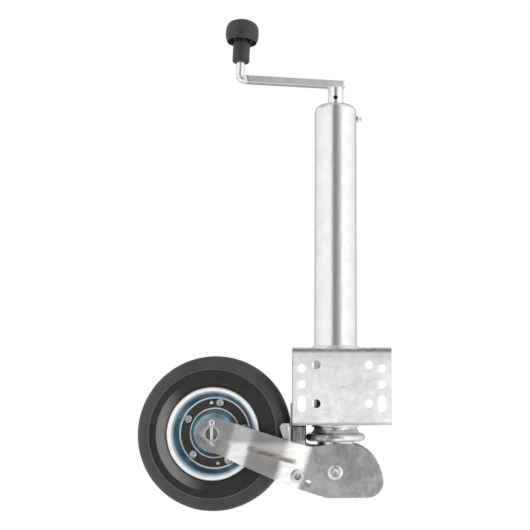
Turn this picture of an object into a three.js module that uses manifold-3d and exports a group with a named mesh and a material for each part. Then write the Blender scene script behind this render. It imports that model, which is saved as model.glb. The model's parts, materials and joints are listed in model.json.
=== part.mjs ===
/**
 * Trailer tongue jack with a folding wheel, retracted and folded up for towing.
 *
 * Millimetres, +Z up. The origin is the centre of the mounting bracket's outer face.
 * The bracket faces -Y, the tube stands behind it, and the folded wheel lies towards -X.
 */
import * as THREE from "three";
import { mergeVertices, toCreasedNormals } from "three/addons/utils/BufferGeometryUtils.js";
import Module from "manifold-3d";

// ---- Driving dimensions -------------------------------------------------------------------

const GAP = 0.3; // between pieces that touch
const RUNNING = 0.25; // between a pin and the hole it turns in

// Tube axis, seen from the bracket's centre
const TUBE_X = -9;
const TUBE_Y = 40;

// Outer tube
const TUBE_R = 30;
const TUBE_WALL = 3;
const TUBE_TOP = 404;
const TUBE_DOME_R = 9;
const TUBE_TOP_WALL = 5;
const TUBE_FLARE_R = 34;
const TUBE_FLARE_TOP = -57.6;
const TUBE_LOW = -64.5;

// Collar at the tube's mouth, which folds the fork
const COLLAR_R = 41.5;
const COLLAR_LOW = -75.3;

// Mounting bracket, a channel that opens to the back
const BRACKET_W = 136;
const BRACKET_H = 106;
const BRACKET_DEPTH = 76;
const BRACKET_SHEET = 5;
const BRACKET_BEND_R = 8;
const BOLT_HOLE_R = 6;
const INNER_HOLE_X = 36;
const INNER_HOLES_SHIFT = 1; // the inner pair sits off the middle
const INNER_HOLE_TOP = 29;
const OUTER_HOLE_X = 55;
const OUTER_HOLE_TOP = 24;
const OUTER_HOLE_MID = 2.5;
const LOWER_HOLES_Z = -23.7;
const SLOT_LENGTH = 23;

const NIPPLE_Z = TUBE_TOP - 19;

// Inner tube, screw and crank
const INNER_R = 25;
const INNER_WALL = 3;
const INNER_TOP = 230;
const SCREW_R = 10;
const SCREW_LOW = -12;
const JOURNAL_R = 8;
const JOURNAL_TOP = 428;
const HUB_R = 11.2;
const ROLL_PIN_Z = 415;
const ROLL_PIN_R = 3;
const ROLL_PIN_HALF = 9.6;
const CRANK_RADIUS = 139.6;
const CRANK_YAW = THREE.MathUtils.degToRad(10.4);
const ARM_Z = 437;
const ARM_THICK = 10;
const ARM_WIDTH = 15;
const ARM_OVERHANG = 13.3;
const ROD_R = 6.1;
const ELBOW_R = 7.5;
const ROD_LEAN = THREE.MathUtils.degToRad(2.2); // the handle rod leans back towards the tube

// Knob, heights along the handle rod from the middle of the crank arm
const KNOB_LOW = 25;
const KNOB_RIM = 54;
const KNOB_WIDEST = 66;
const KNOB_TOP = 86.5;
const KNOB_NECK_R = 12.2;
const KNOB_R = 23.7;
const KNOB_RIBS = 8;

// Fork, laid out along the line from its pivot to the axle
const PIVOT_Z = -116.2;
const PIVOT_R = 8;
const AXLE_X = -167.9;
const AXLE_Z = 51.9;
const FORK_SHEET = 4;
const ARM_HALF = 22.5;
const KNUCKLE_OFFSET = 26.5;
const MIDDLE_OFFSET = 40;
const END_OFFSET = 31.3;
const CROSS_HOLE_R = 5;

// Wheel
const TYRE_R = 106.3;
const TYRE_HALF_W = 32.5;
const LIP_R = 64.2;
const RIM_SHEET = 2.2;
const RIM_BOLTS = 5;
const RIM_BOLT_CIRCLE = 42;
const RIM_BOLT_PHASE = THREE.MathUtils.degToRad(8.8);
const RIVET_PHASE = THREE.MathUtils.degToRad(97.2);
const AXLE_R = 10.8;
const AXLE_BORE = 8.4;
const AXLE_HALF = 40.5;
const AXLE_WEB_LOW = 25; // the wall that closes the bore
const AXLE_WEB_HIGH = 29;
const HUB_TUBE_R = 17;
const HUB_HALF = 29.5;

// ---- Materials ----------------------------------------------------------------------------

function finish(color, roughness, metalness) {
  return new THREE.MeshStandardMaterial({ color, roughness, metalness });
}

const zincTube = finish(0xc9ccce, 0.22, 1);
const zincSheet = finish(0xc4c7c6, 0.38, 1);
const zincFork = finish(0xb4b6b2, 0.36, 1);
const zincSmall = finish(0xbfc1c2, 0.3, 1);
const brightSteel = finish(0xa6a8aa, 0.25, 1);
const darkSteel = finish(0x2a2a2b, 0.45, 1);
const blueZinc = finish(0x5b8192, 0.3, 1);
const rubber = finish(0x232322, 0.75, 0);
const blackPlastic = finish(0x2b2c2d, 0.5, 0);
const palePlastic = finish(0xd8d5c8, 0.55, 0);
const brassAlloy = finish(0xb99a55, 0.4, 1);

// ---- Solids -------------------------------------------------------------------------------

const wasm = await Module();
wasm.setup();

const CREASE = THREE.MathUtils.degToRad(35);
const MERGE_DISTANCE = 1e-4;

/** Triangles of a geometry with shared vertices, no collapsed triangles and faces pointing out. */
function closedMesh(geometry) {
  const bare = geometry.clone();
  bare.deleteAttribute("normal");
  bare.deleteAttribute("uv");
  const merged = mergeVertices(bare, MERGE_DISTANCE);
  const points = merged.attributes.position;
  const corner = [new THREE.Vector3(), new THREE.Vector3(), new THREE.Vector3()];
  const triangles = [];
  let volume = 0;
  for (let i = 0; i < merged.index.count; i += 3) {
    const triangle = [0, 1, 2].map((k) => merged.index.getX(i + k));
    if (new Set(triangle).size < 3) continue;
    triangles.push(triangle);
    triangle.forEach((vertex, k) => corner[k].fromBufferAttribute(points, vertex));
    volume += corner[0].dot(corner[1].clone().cross(corner[2]));
  }
  if (volume < 0) triangles.forEach((triangle) => triangle.reverse());
  return {
    numProp: 3,
    vertProperties: Float32Array.from(points.array),
    triVerts: Uint32Array.from(triangles.flat()),
  };
}

/** Solid of a three.js geometry, ready to be cut or joined. */
function solid(geometry) {
  return new wasm.Manifold(new wasm.Mesh(closedMesh(geometry)));
}

/** Geometry of a solid, with normals that keep its edges crisp. */
function geometryOf(body) {
  const mesh = body.getMesh();
  const geometry = new THREE.BufferGeometry();
  geometry.setAttribute("position", new THREE.Float32BufferAttribute(mesh.vertProperties, 3));
  geometry.setIndex(Array.from(mesh.triVerts));
  return toCreasedNormals(geometry, CREASE);
}

function join(first, ...others) {
  return others.reduce((body, other) => body.add(other), first);
}

function cut(first, ...others) {
  return others.reduce((body, other) => body.subtract(other), first);
}

// ---- Shape helpers ------------------------------------------------------------------------

/** Body turned about Y from points of radius and height. */
function turnedY(points, segments) {
  const profile = points.map(([radius, height]) => new THREE.Vector2(radius, height));
  return new THREE.LatheGeometry(profile, segments);
}

/** Body turned about Z from points of radius and height. */
function turnedZ(points, segments) {
  return turnedY(points, segments).rotateX(Math.PI / 2);
}

/** Closed outline of a ring with chamfered edges. */
function ring(inner, outer, low, high, chamfer = 0) {
  if (chamfer === 0) return [[inner, low], [outer, low], [outer, high], [inner, high], [inner, low]];
  return [
    [inner, low],
    [outer - chamfer, low],
    [outer, low + chamfer],
    [outer, high - chamfer],
    [outer - chamfer, high],
    [inner, high],
    [inner, low],
  ];
}

/** Points of an arc about a centre, from one angle to another, in degrees. */
function arc(centreX, centreY, radius, from, to, steps) {
  return Array.from({ length: steps + 1 }, (_, i) => {
    const angle = THREE.MathUtils.degToRad(from + ((to - from) * i) / steps);
    return [centreX + radius * Math.cos(angle), centreY + radius * Math.sin(angle)];
  });
}

/** Round bar along Y between two places. */
function barY(radius, low, high, segments = 24) {
  return new THREE.CylinderGeometry(radius, radius, high - low, segments).translate(0, (low + high) / 2, 0);
}

/** Round bar along Z between two places. */
function barZ(radius, low, high, segments = 24) {
  return barY(radius, low, high, segments).rotateX(Math.PI / 2);
}

function box(low, high) {
  const size = high.map((value, i) => value - low[i]);
  const middle = high.map((value, i) => (value + low[i]) / 2);
  return new THREE.BoxGeometry(...size).translate(...middle);
}

function shapeOf(points) {
  return new THREE.Shape(points.map(([x, y]) => new THREE.Vector2(x, y)));
}

/** Slab of an outline drawn in X and Z, between two places along Y. */
function slabXZ(shape, low, high, curveSegments = 10) {
  const slab = new THREE.ExtrudeGeometry(shape, { depth: high - low, bevelEnabled: false, curveSegments });
  return slab.rotateX(Math.PI / 2).translate(0, high, 0);
}

/** Sheet of even thickness whose near face follows the points; the closed outline of both faces. */
function sheetOutline(points, thickness) {
  const far = points.map((point, i) => {
    const before = points[Math.max(i - 1, 0)];
    const after = points[Math.min(i + 1, points.length - 1)];
    const inward = normalOf(before, point);
    const outward = normalOf(point, after);
    const normal = i === 0 ? outward : i === points.length - 1 ? inward : bisector(inward, outward);
    return [point[0] + normal[0] * thickness, point[1] + normal[1] * thickness];
  });
  return [...points, ...far.reverse(), points[0]];
}

function normalOf(a, b) {
  const length = Math.hypot(b[0] - a[0], b[1] - a[1]) || 1;
  return [-(b[1] - a[1]) / length, (b[0] - a[0]) / length];
}

/** Direction between two normals, stretched so that both faces keep the sheet's thickness. */
function bisector(a, b) {
  const sum = [a[0] + b[0], a[1] + b[1]];
  const stretch = 2 / (sum[0] * sum[0] + sum[1] * sum[1]);
  return [sum[0] * stretch, sum[1] * stretch];
}

/** Adds a named sub-part to a group. */
function part(group, name, shape, material, position = [0, 0, 0], rotation = [0, 0, 0]) {
  const body = shape instanceof THREE.BufferGeometry ? solid(shape) : shape;
  const mesh = new THREE.Mesh(geometryOf(body), material);
  mesh.name = name;
  mesh.position.set(...position);
  mesh.rotation.set(...rotation);
  group.add(mesh);
}

// ---- Scene graph --------------------------------------------------------------------------

const jack = new THREE.Group();

const column = new THREE.Group(); // everything on the tube's axis
column.position.set(TUBE_X, TUBE_Y, 0);
jack.add(column);

const crank = new THREE.Group(); // -X runs along the arm to the knob
crank.position.z = ARM_Z;
crank.rotation.z = CRANK_YAW;
column.add(crank);

const handle = new THREE.Group(); // +Z runs up the handle rod
handle.position.x = -CRANK_RADIUS;
handle.rotation.y = ROD_LEAN;
crank.add(handle);

const fork = new THREE.Group();
fork.position.z = PIVOT_Z;
column.add(fork);

const wheel = new THREE.Group();
wheel.position.set(AXLE_X, 0, AXLE_Z);
fork.add(wheel);

// ---- Outer tube, collar and bracket -------------------------------------------------------

function makeOuterTube() {
  const inner = TUBE_R - TUBE_WALL;
  const domeInner = TUBE_DOME_R - TUBE_WALL;
  const bore = JOURNAL_R + 2.5;
  const ceiling = TUBE_TOP - TUBE_TOP_WALL;
  part(column, "outer_tube", turnedZ([
    [inner, TUBE_LOW],
    [TUBE_FLARE_R, TUBE_LOW],
    [TUBE_R, TUBE_FLARE_TOP],
    ...arc(TUBE_R - TUBE_DOME_R, TUBE_TOP - TUBE_DOME_R, TUBE_DOME_R, 0, 90, 4),
    [bore, TUBE_TOP],
    [bore, ceiling],
    ...arc(inner - domeInner, ceiling - domeInner, domeInner, 90, 0, 2),
    [inner, TUBE_LOW],
  ], 30), zincTube);

  const rim = (TUBE_LOW - GAP - COLLAR_LOW) / 2;
  part(column, "stop_collar", turnedZ([
    [INNER_R + 0.6, COLLAR_LOW],
    ...arc(COLLAR_R - rim, COLLAR_LOW + rim, rim, -90, 90, 6),
    [INNER_R + 0.6, TUBE_LOW - GAP],
    [INNER_R + 0.6, COLLAR_LOW],
  ], 30), zincTube);

  part(column, "guide_bush", turnedZ(ring(INNER_R + RUNNING, TUBE_R - TUBE_WALL - GAP, -58, -22), 24),
    palePlastic);
}

function makeBracket() {
  const depth = BRACKET_DEPTH;
  const half = BRACKET_H / 2;
  const bend = BRACKET_BEND_R;
  const inner = bend - BRACKET_SHEET;
  const channel = shapeOf([
    [depth, -half],
    [depth, -half + BRACKET_SHEET],
    ...arc(bend, -half + bend, inner, 270, 180, 4),
    ...arc(bend, half - bend, inner, 180, 90, 4),
    [depth, half - BRACKET_SHEET],
    [depth, half],
    ...arc(bend, half - bend, bend, 90, 180, 6),
    ...arc(bend, -half + bend, bend, 180, 270, 6),
  ]);
  const length = new THREE.ExtrudeGeometry(channel, { depth: BRACKET_W, bevelEnabled: false });
  const turn = new THREE.Matrix4().makeBasis(
    new THREE.Vector3(0, 1, 0),
    new THREE.Vector3(0, 0, 1),
    new THREE.Vector3(1, 0, 0),
  );
  const sheet = solid(length.applyMatrix4(turn).translate(-BRACKET_W / 2, 0, 0));

  const through = [-1, BRACKET_SHEET + 1];
  const hole = (x, z) => solid(barY(BOLT_HOLE_R, ...through, 16).translate(x, 0, z));
  const cuts = [];
  for (const side of [-1, 1]) {
    const innerX = side * INNER_HOLE_X + INNER_HOLES_SHIFT;
    cuts.push(hole(innerX, INNER_HOLE_TOP), hole(innerX, LOWER_HOLES_Z));
    cuts.push(hole(side * OUTER_HOLE_X, OUTER_HOLE_TOP), hole(side * OUTER_HOLE_X, OUTER_HOLE_MID));
    const reach = SLOT_LENGTH / 2 - BOLT_HOLE_R;
    const slot = shapeOf([
      ...arc(0, reach, BOLT_HOLE_R, 0, 180, 8),
      ...arc(0, -reach, BOLT_HOLE_R, 180, 360, 8),
    ]);
    cuts.push(solid(slabXZ(slot, ...through).translate(side * OUTER_HOLE_X, 0, LOWER_HOLES_Z)));
  }
  const passage = solid(barZ(TUBE_R + GAP, -half - 1, half + 1, 30).translate(TUBE_X, TUBE_Y, 0));
  part(jack, "mount_bracket", cut(sheet, passage, ...cuts), zincSheet);

  const bead = 4;
  for (const [name, side] of [["upper_weld", 1], ["lower_weld", -1]]) {
    const base = side * (half + GAP);
    part(column, name, turnedZ([
      [TUBE_R + GAP, base],
      [TUBE_R + bead, base],
      [TUBE_R + bead - 1, base + side * 2.2],
      [TUBE_R + GAP, base + side * bead],
      [TUBE_R + GAP, base],
    ], 24), zincTube);
  }
}

function makeGreaseNipple() {
  const root = TUBE_R - TUBE_WALL - 1;
  const seat = TUBE_R + GAP;
  const stem = 2.6;
  const nipple = turnedY([
    [0, root],
    [stem, root],
    [stem, seat],
    [4.6, seat],
    [4.6, seat + 3],
    [2.4, seat + 4],
    [2.4, seat + 5.6],
    [3.2, seat + 6.4],
    [3, seat + 8],
    [1.4, seat + 8.8],
    [0, seat + 8.8],
  ], 12).rotateZ(-Math.PI / 2);
  part(column, "grease_nipple", nipple, brightSteel, [0, 0, NIPPLE_Z]);
}

/** The outer tube needs a hole for the nipple's stem, so it is drilled after both are made. */
function drillNippleHole() {
  const tube = column.getObjectByName("outer_tube");
  const drill = barY(3, TUBE_R - TUBE_WALL - 2, TUBE_R + 2, 12).rotateZ(-Math.PI / 2);
  drill.translate(0, 0, NIPPLE_Z);
  tube.geometry = geometryOf(cut(solid(tube.geometry), solid(drill)));
}

// ---- Screw drive --------------------------------------------------------------------------

const CEILING = TUBE_TOP - TUBE_TOP_WALL;
const RACE_THICK = 3;
const BALL_R = 2.6;
const BALL_CIRCLE = 15.5;
const BALLS = 6;
const UPPER_RACE_TOP = CEILING - GAP;
const BALL_Z = UPPER_RACE_TOP - RACE_THICK - GAP - BALL_R;
const LOWER_RACE_TOP = BALL_Z - BALL_R - GAP;
const SHOULDER_TOP = LOWER_RACE_TOP - RACE_THICK - GAP;

function makeThrustBearing() {
  const bore = JOURNAL_R + 1;
  part(column, "upper_race", turnedZ(ring(bore, 19.5, UPPER_RACE_TOP - RACE_THICK, UPPER_RACE_TOP), 20),
    brightSteel);
  part(column, "lower_race", turnedZ(ring(bore, 19.5, LOWER_RACE_TOP - RACE_THICK, LOWER_RACE_TOP), 20),
    brightSteel);
  for (let i = 0; i < BALLS; i += 1) {
    const angle = (2 * Math.PI * i) / BALLS;
    const place = [BALL_CIRCLE * Math.cos(angle), BALL_CIRCLE * Math.sin(angle), BALL_Z];
    part(column, `bearing_ball_${i + 1}`, new THREE.SphereGeometry(BALL_R, 8, 6), brightSteel, place);
  }
  part(column, "top_bush", turnedZ([
    [JOURNAL_R + RUNNING, CEILING + GAP],
    [JOURNAL_R + 2.2, CEILING + GAP],
    [JOURNAL_R + 2.2, TUBE_TOP + GAP],
    [JOURNAL_R + 5, TUBE_TOP + GAP],
    [JOURNAL_R + 5, TUBE_TOP + 1.3],
    [JOURNAL_R + RUNNING, TUBE_TOP + 1.3],
    [JOURNAL_R + RUNNING, CEILING + GAP],
  ], 20), palePlastic);
}

function makeScrew() {
  const chamfer = 1.5;
  const screw = solid(turnedZ([
    [0, SCREW_LOW],
    [SCREW_R - chamfer, SCREW_LOW],
    [SCREW_R, SCREW_LOW + chamfer],
    [SCREW_R, SHOULDER_TOP - 6],
    [16, SHOULDER_TOP - 6],
    [16, SHOULDER_TOP],
    [JOURNAL_R, SHOULDER_TOP],
    [JOURNAL_R, JOURNAL_TOP - 1],
    [JOURNAL_R - 1, JOURNAL_TOP],
    [0, JOURNAL_TOP],
  ], 20));
  const pinHole = solid(barY(ROLL_PIN_R + 0.1, -HUB_R - 2, HUB_R + 2, 12).translate(0, 0, ROLL_PIN_Z));
  part(column, "lift_screw", cut(screw, pinHole), brightSteel);

  const hubTop = ARM_Z - ARM_THICK / 2 - GAP;
  const hub = solid(turnedZ(ring(JOURNAL_R + 0.1, HUB_R, TUBE_TOP + 1.6, hubTop, 0.8), 20));
  part(column, "crank_hub", cut(hub, pinHole), zincTube);

  const rollPin = turnedY(ring(ROLL_PIN_R - 1, ROLL_PIN_R, -ROLL_PIN_HALF, ROLL_PIN_HALF), 12);
  part(column, "roll_pin", rollPin, darkSteel, [0, 0, ROLL_PIN_Z]);
}

/** Section of the crank's arm: a bar pressed flat, with round edges. */
function flatSection() {
  const round = ARM_THICK / 2 - 1;
  const w = ARM_WIDTH / 2 - round;
  const h = ARM_THICK / 2 - round;
  return shapeOf([
    ...arc(w, h, round, 0, 90, 3),
    ...arc(-w, h, round, 90, 180, 3),
    ...arc(-w, -h, round, 180, 270, 3),
    ...arc(w, -h, round, 270, 360, 3),
  ]);
}

function makeCrank() {
  const arm = new THREE.ExtrudeGeometry(flatSection(), {
    depth: ARM_OVERHANG + CRANK_RADIUS - ELBOW_R - 2,
    bevelEnabled: false,
  });
  const along = new THREE.Matrix4().makeBasis(
    new THREE.Vector3(0, -1, 0),
    new THREE.Vector3(0, 0, 1),
    new THREE.Vector3(-1, 0, 0),
  );
  arm.applyMatrix4(along).translate(ARM_OVERHANG, 0, 0);

  const bend = -CRANK_RADIUS + ELBOW_R;
  const upRod = (height) => new THREE.Vector3(Math.sin(ROD_LEAN), 0, Math.cos(ROD_LEAN))
    .multiplyScalar(height)
    .add(new THREE.Vector3(-CRANK_RADIUS, 0, 0));
  const path = new THREE.CurvePath();
  path.add(new THREE.LineCurve3(new THREE.Vector3(bend + 10, 0, 0), new THREE.Vector3(bend, 0, 0)));
  path.add(new THREE.QuadraticBezierCurve3(
    new THREE.Vector3(bend, 0, 0),
    upRod(0),
    upRod(ELBOW_R),
  ));
  path.add(new THREE.LineCurve3(upRod(ELBOW_R), upRod(KNOB_TOP - 10)));
  const section = shapeOf(arc(0, 0, ROD_R, 0, 360, 12).slice(0, -1));
  const rod = new THREE.ExtrudeGeometry(section, { steps: 18, extrudePath: path, bevelEnabled: false });
  const groove = turnedZ(ring(ROD_R - 1, ROD_R + 1, KNOB_TOP - 15, KNOB_TOP - 13.4), 12);
  groove.rotateY(ROD_LEAN).translate(-CRANK_RADIUS, 0, 0);
  part(crank, "crank_arm", cut(join(solid(arm), solid(rod)), solid(groove)), zincTube);

  const clip = turnedZ(ring(ROD_R - 0.8, ROD_R + 3, KNOB_TOP - 14.8, KNOB_TOP - 13.6), 12);
  part(handle, "knob_clip", clip, darkSteel);
}

function makeKnob() {
  const bore = ROD_R + RUNNING;
  const recess = KNOB_RIM + 11;
  const rim = KNOB_R - 3;
  const crown = KNOB_TOP - KNOB_WIDEST;
  const head = Array.from({ length: 7 }, (_, i) => {
    const angle = (Math.PI / 2) * (i / 6);
    return [KNOB_R * Math.cos(angle) ** 0.5, KNOB_WIDEST + crown * Math.sin(angle)];
  });
  head[head.length - 1][0] = 0;
  const body = solid(turnedZ([
    [bore, KNOB_LOW],
    [KNOB_NECK_R - 2, KNOB_LOW],
    [KNOB_NECK_R, KNOB_LOW + 2.5],
    [KNOB_NECK_R, recess],
    [rim - 1.6, recess],
    [rim - 1.6, KNOB_RIM],
    [rim, KNOB_RIM],
    [KNOB_R - 0.6, KNOB_RIM + 5],
    ...head,
    [0, KNOB_TOP - 6],
    [bore + 4, KNOB_TOP - 6],
    [bore + 4, KNOB_TOP - 16],
    [bore, KNOB_TOP - 16],
    [bore, KNOB_LOW],
  ], 24));
  const ribs = Array.from({ length: KNOB_RIBS }, (_, i) => {
    const rib = box([KNOB_NECK_R - 1, -0.9, KNOB_RIM + 2], [rim - 1, 0.9, recess + 1]);
    return solid(rib.rotateZ((2 * Math.PI * i) / KNOB_RIBS));
  });
  part(handle, "crank_knob", join(body, ...ribs), blackPlastic);
}

// ---- Inner tube ---------------------------------------------------------------------------

const SLEEVE_R = 13;
const SLEEVE_HALF = KNUCKLE_OFFSET - 0.5;
const INNER_LOW = PIVOT_Z - 14.5;

function makeInnerTube() {
  const tube = solid(turnedZ(ring(INNER_R - INNER_WALL, INNER_R, INNER_LOW, INNER_TOP), 28));
  const seat = solid(barY(SLEEVE_R + GAP, -INNER_R - 2, INNER_R + 2, 20).translate(0, 0, PIVOT_Z));
  part(column, "inner_tube", cut(tube, seat), zincTube);

  part(column, "pivot_sleeve", turnedY(ring(PIVOT_R + RUNNING, SLEEVE_R, -SLEEVE_HALF, SLEEVE_HALF), 20),
    zincSmall, [0, 0, PIVOT_Z]);

  const flange = INNER_TOP + GAP;
  part(column, "screw_nut", turnedZ([
    [SCREW_R + RUNNING, INNER_TOP - 26],
    [INNER_R - INNER_WALL - GAP, INNER_TOP - 26],
    [INNER_R - INNER_WALL - GAP, flange],
    [INNER_R, flange],
    [INNER_R, flange + 4],
    [SCREW_R + RUNNING, flange + 4],
    [SCREW_R + RUNNING, INNER_TOP - 26],
  ], 24), brassAlloy);
}

// ---- Fork ---------------------------------------------------------------------------------

const FORK_LENGTH = Math.hypot(AXLE_X, AXLE_Z);
const FORK_ANGLE = Math.atan2(AXLE_Z, AXLE_X);

/** Place in X and Z for a distance along the fork and one across it, upwards. */
function onFork(along, across) {
  const c = Math.cos(FORK_ANGLE);
  const s = Math.sin(FORK_ANGLE);
  return [along * c + across * s, along * s - across * c];
}

// Distance from the middle plane to a plate's inner face, along the fork
const BENDS = [
  [-80, KNUCKLE_OFFSET],
  [42, KNUCKLE_OFFSET],
  [74, MIDDLE_OFFSET],
  [122, MIDDLE_OFFSET],
  [147, END_OFFSET],
  [210, END_OFFSET],
];

/** Bent sheet, unlimited across the fork, on one side of the middle plane. */
function bentSheet(side, inset, thickness) {
  const near = BENDS.map(([along, offset]) => [along, offset - inset]);
  const outline = shapeOf(sheetOutline(near, thickness).slice(0, -1));
  const reach = 110;
  const sheet = new THREE.ExtrudeGeometry(outline, { depth: 2 * reach, bevelEnabled: false });
  const [ux, uz] = onFork(1, 0);
  const [vx, vz] = onFork(0, 1);
  const frame = new THREE.Matrix4().makeBasis(
    new THREE.Vector3(ux, 0, uz),
    new THREE.Vector3(0, side, 0),
    new THREE.Vector3(vx, 0, vz),
  );
  frame.setPosition(-reach * vx, 0, -reach * vz);
  return solid(sheet.applyMatrix4(frame));
}

/** Outline of a fork plate in X and Z, seen from its pivot. */
function plateOutline() {
  const turn = THREE.MathUtils.radToDeg(FORK_ANGLE);
  return [
    ...arc(AXLE_X, AXLE_Z, ARM_HALF, turn - 90, turn + 86, 14),
    onFork(42, -36),
    ...arc(-9, -14.3, 20, 246, 270, 3),
    ...arc(43.3, -11.8, 22, 270, 366, 7),
    ...arc(14, -12, 50.5, 11, 74, 6),
    [20, 38],
    [2, 38],
    [-14, 36.2],
    [-24, 34.6],
    [-35, 34.4],
    onFork(46, ARM_HALF),
  ];
}

const CROSS_TUBE_ALONG = 48;
const CROSS_TUBE_ACROSS = -20;
const CROSS_TUBE_R = 7;
const CROSS_HOLE = [-37.4, -15.1];

function makeForkPlates() {
  const outline = shapeOf(plateOutline());
  const [crossX, crossZ] = onFork(CROSS_TUBE_ALONG, CROSS_TUBE_ACROSS);
  const holes = [
    barY(PIVOT_R + 0.15, -60, 60, 28),
    barY(AXLE_R + 0.15, -60, 60, 28).translate(AXLE_X, 0, AXLE_Z),
    barY(CROSS_TUBE_R + GAP, -60, 60, 20).translate(crossX, 0, crossZ),
    barY(CROSS_HOLE_R, -60, 60, 16).translate(CROSS_HOLE[0], 0, CROSS_HOLE[1]),
  ];
  for (const [name, side] of [["fork_plate_front", -1], ["fork_plate_rear", 1]]) {
    const slab = solid(slabXZ(outline, -60, 60));
    const plate = bentSheet(side, 0, FORK_SHEET).intersect(slab);
    part(fork, name, cut(plate, ...holes.map(solid)), zincFork);
  }
}

/** Stay between the plates: two cheeks inside the arms and a web that runs up beside the bracket. */
function makeForkBridge() {
  const left = -76;
  const right = -41.5;
  const top = 61;
  const low = 24;
  const webX = -61.6;
  const raised = top + 5;
  const cheek = shapeOf([
    [left, raised - 4],
    [left + 4, raised],
    [webX - 1, raised],
    [webX - 1, top],
    [right, top],
    [right, low],
    [left + 12, low],
  ]);
  const cheeks = [-1, 1].map((side) => {
    const slab = solid(slabXZ(cheek, -60, 60));
    return bentSheet(side, 3 + GAP, 3).intersect(slab);
  });
  const web = shapeOf([
    [-35.2, low],
    [35.2, low],
    [38, top - 8],
    [36, top + 8],
    ...arc(26, top + 24, 8, 0, 90, 4),
    ...arc(-26, top + 24, 8, 90, 180, 4),
    [-36, top + 8],
    [-38, top - 8],
  ]);
  const sheet = new THREE.ExtrudeGeometry(web, { depth: 1.6, bevelEnabled: false });
  const upright = new THREE.Matrix4().makeBasis(
    new THREE.Vector3(0, 1, 0),
    new THREE.Vector3(0, 0, 1),
    new THREE.Vector3(1, 0, 0),
  );
  sheet.applyMatrix4(upright).translate(webX, 0, 0);
  part(fork, "fork_bridge", join(solid(sheet), ...cheeks), zincFork);
}

function makeForkFittings() {
  const width = KNUCKLE_OFFSET - GAP;
  part(fork, "fork_stop", box([-16, -width, -33.6], [40, width, -30.2]), zincFork);

  const outside = KNUCKLE_OFFSET + FORK_SHEET + GAP;
  const grooveLow = outside + 2.6;
  const headR = 10.6;
  part(fork, "pivot_pin", turnedY([
    [0, -outside - 4.4],
    [headR - 3, -outside - 4.2],
    [headR - 0.8, -outside - 3.2],
    [headR, -outside - 1.8],
    [headR, -outside],
    [PIVOT_R, -outside],
    [PIVOT_R, grooveLow],
    [PIVOT_R - 0.9, grooveLow],
    [PIVOT_R - 0.9, grooveLow + 1.8],
    [PIVOT_R, grooveLow + 1.8],
    [PIVOT_R, grooveLow + 4],
    [PIVOT_R - 1, grooveLow + 5],
    [0, grooveLow + 5],
  ], 20), zincSmall);
  part(fork, "pivot_washer", turnedY(ring(PIVOT_R + 0.3, 14, outside, outside + 2.2), 24), zincSmall);
  const clip = turnedY(ring(PIVOT_R - 0.7, 11.5, grooveLow + 0.2, grooveLow + 1.6), 20);
  part(fork, "pivot_clip", clip, darkSteel);
}

/** Hollow rivet across both arms, with a flange that lies flat on each arm's slope. */
function makeCrossTube() {
  const [narrow, wide] = [BENDS[1], BENDS[2]];
  const slope = Math.atan2(wide[1] - narrow[1], wide[0] - narrow[0]);
  const offset = narrow[1] + (CROSS_TUBE_ALONG - narrow[0]) * Math.tan(slope);
  const [x, z] = onFork(CROSS_TUBE_ALONG, CROSS_TUBE_ACROSS);
  const [ux, uz] = onFork(1, 0);
  const [vx, vz] = onFork(0, 1);
  const c = Math.cos(slope);
  const s = Math.sin(slope);
  const barHalf = offset + FORK_SHEET / c + 1;
  let tube = solid(barY(CROSS_TUBE_R, -barHalf, barHalf, 20).translate(x, 0, z));
  for (const side of [-1, 1]) {
    const tilt = new THREE.Matrix4().makeBasis(
      new THREE.Vector3(ux * c, side * s, uz * c),
      new THREE.Vector3(-ux * s, side * c, -uz * s),
      new THREE.Vector3(vx, 0, vz),
    );
    const flange = barY(CROSS_TUBE_R + 2.4, -1, 2.8, 20).applyMatrix4(tilt);
    flange.translate(x, side * (offset + FORK_SHEET / c), z);
    const clearance = bentSheet(side, GAP, FORK_SHEET + 2 * GAP);
    tube = tube.add(cut(solid(flange), clearance));
  }
  const bore = solid(barY(3.9, -60, 60, 16).translate(x, 0, z));
  part(fork, "cross_tube", cut(tube, bore), zincSmall);
}

// ---- Axle and wheel -----------------------------------------------------------------------

const SPLIT_PIN_R = 1.7;
const SPLIT_PIN_Y = 38.4;

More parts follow.
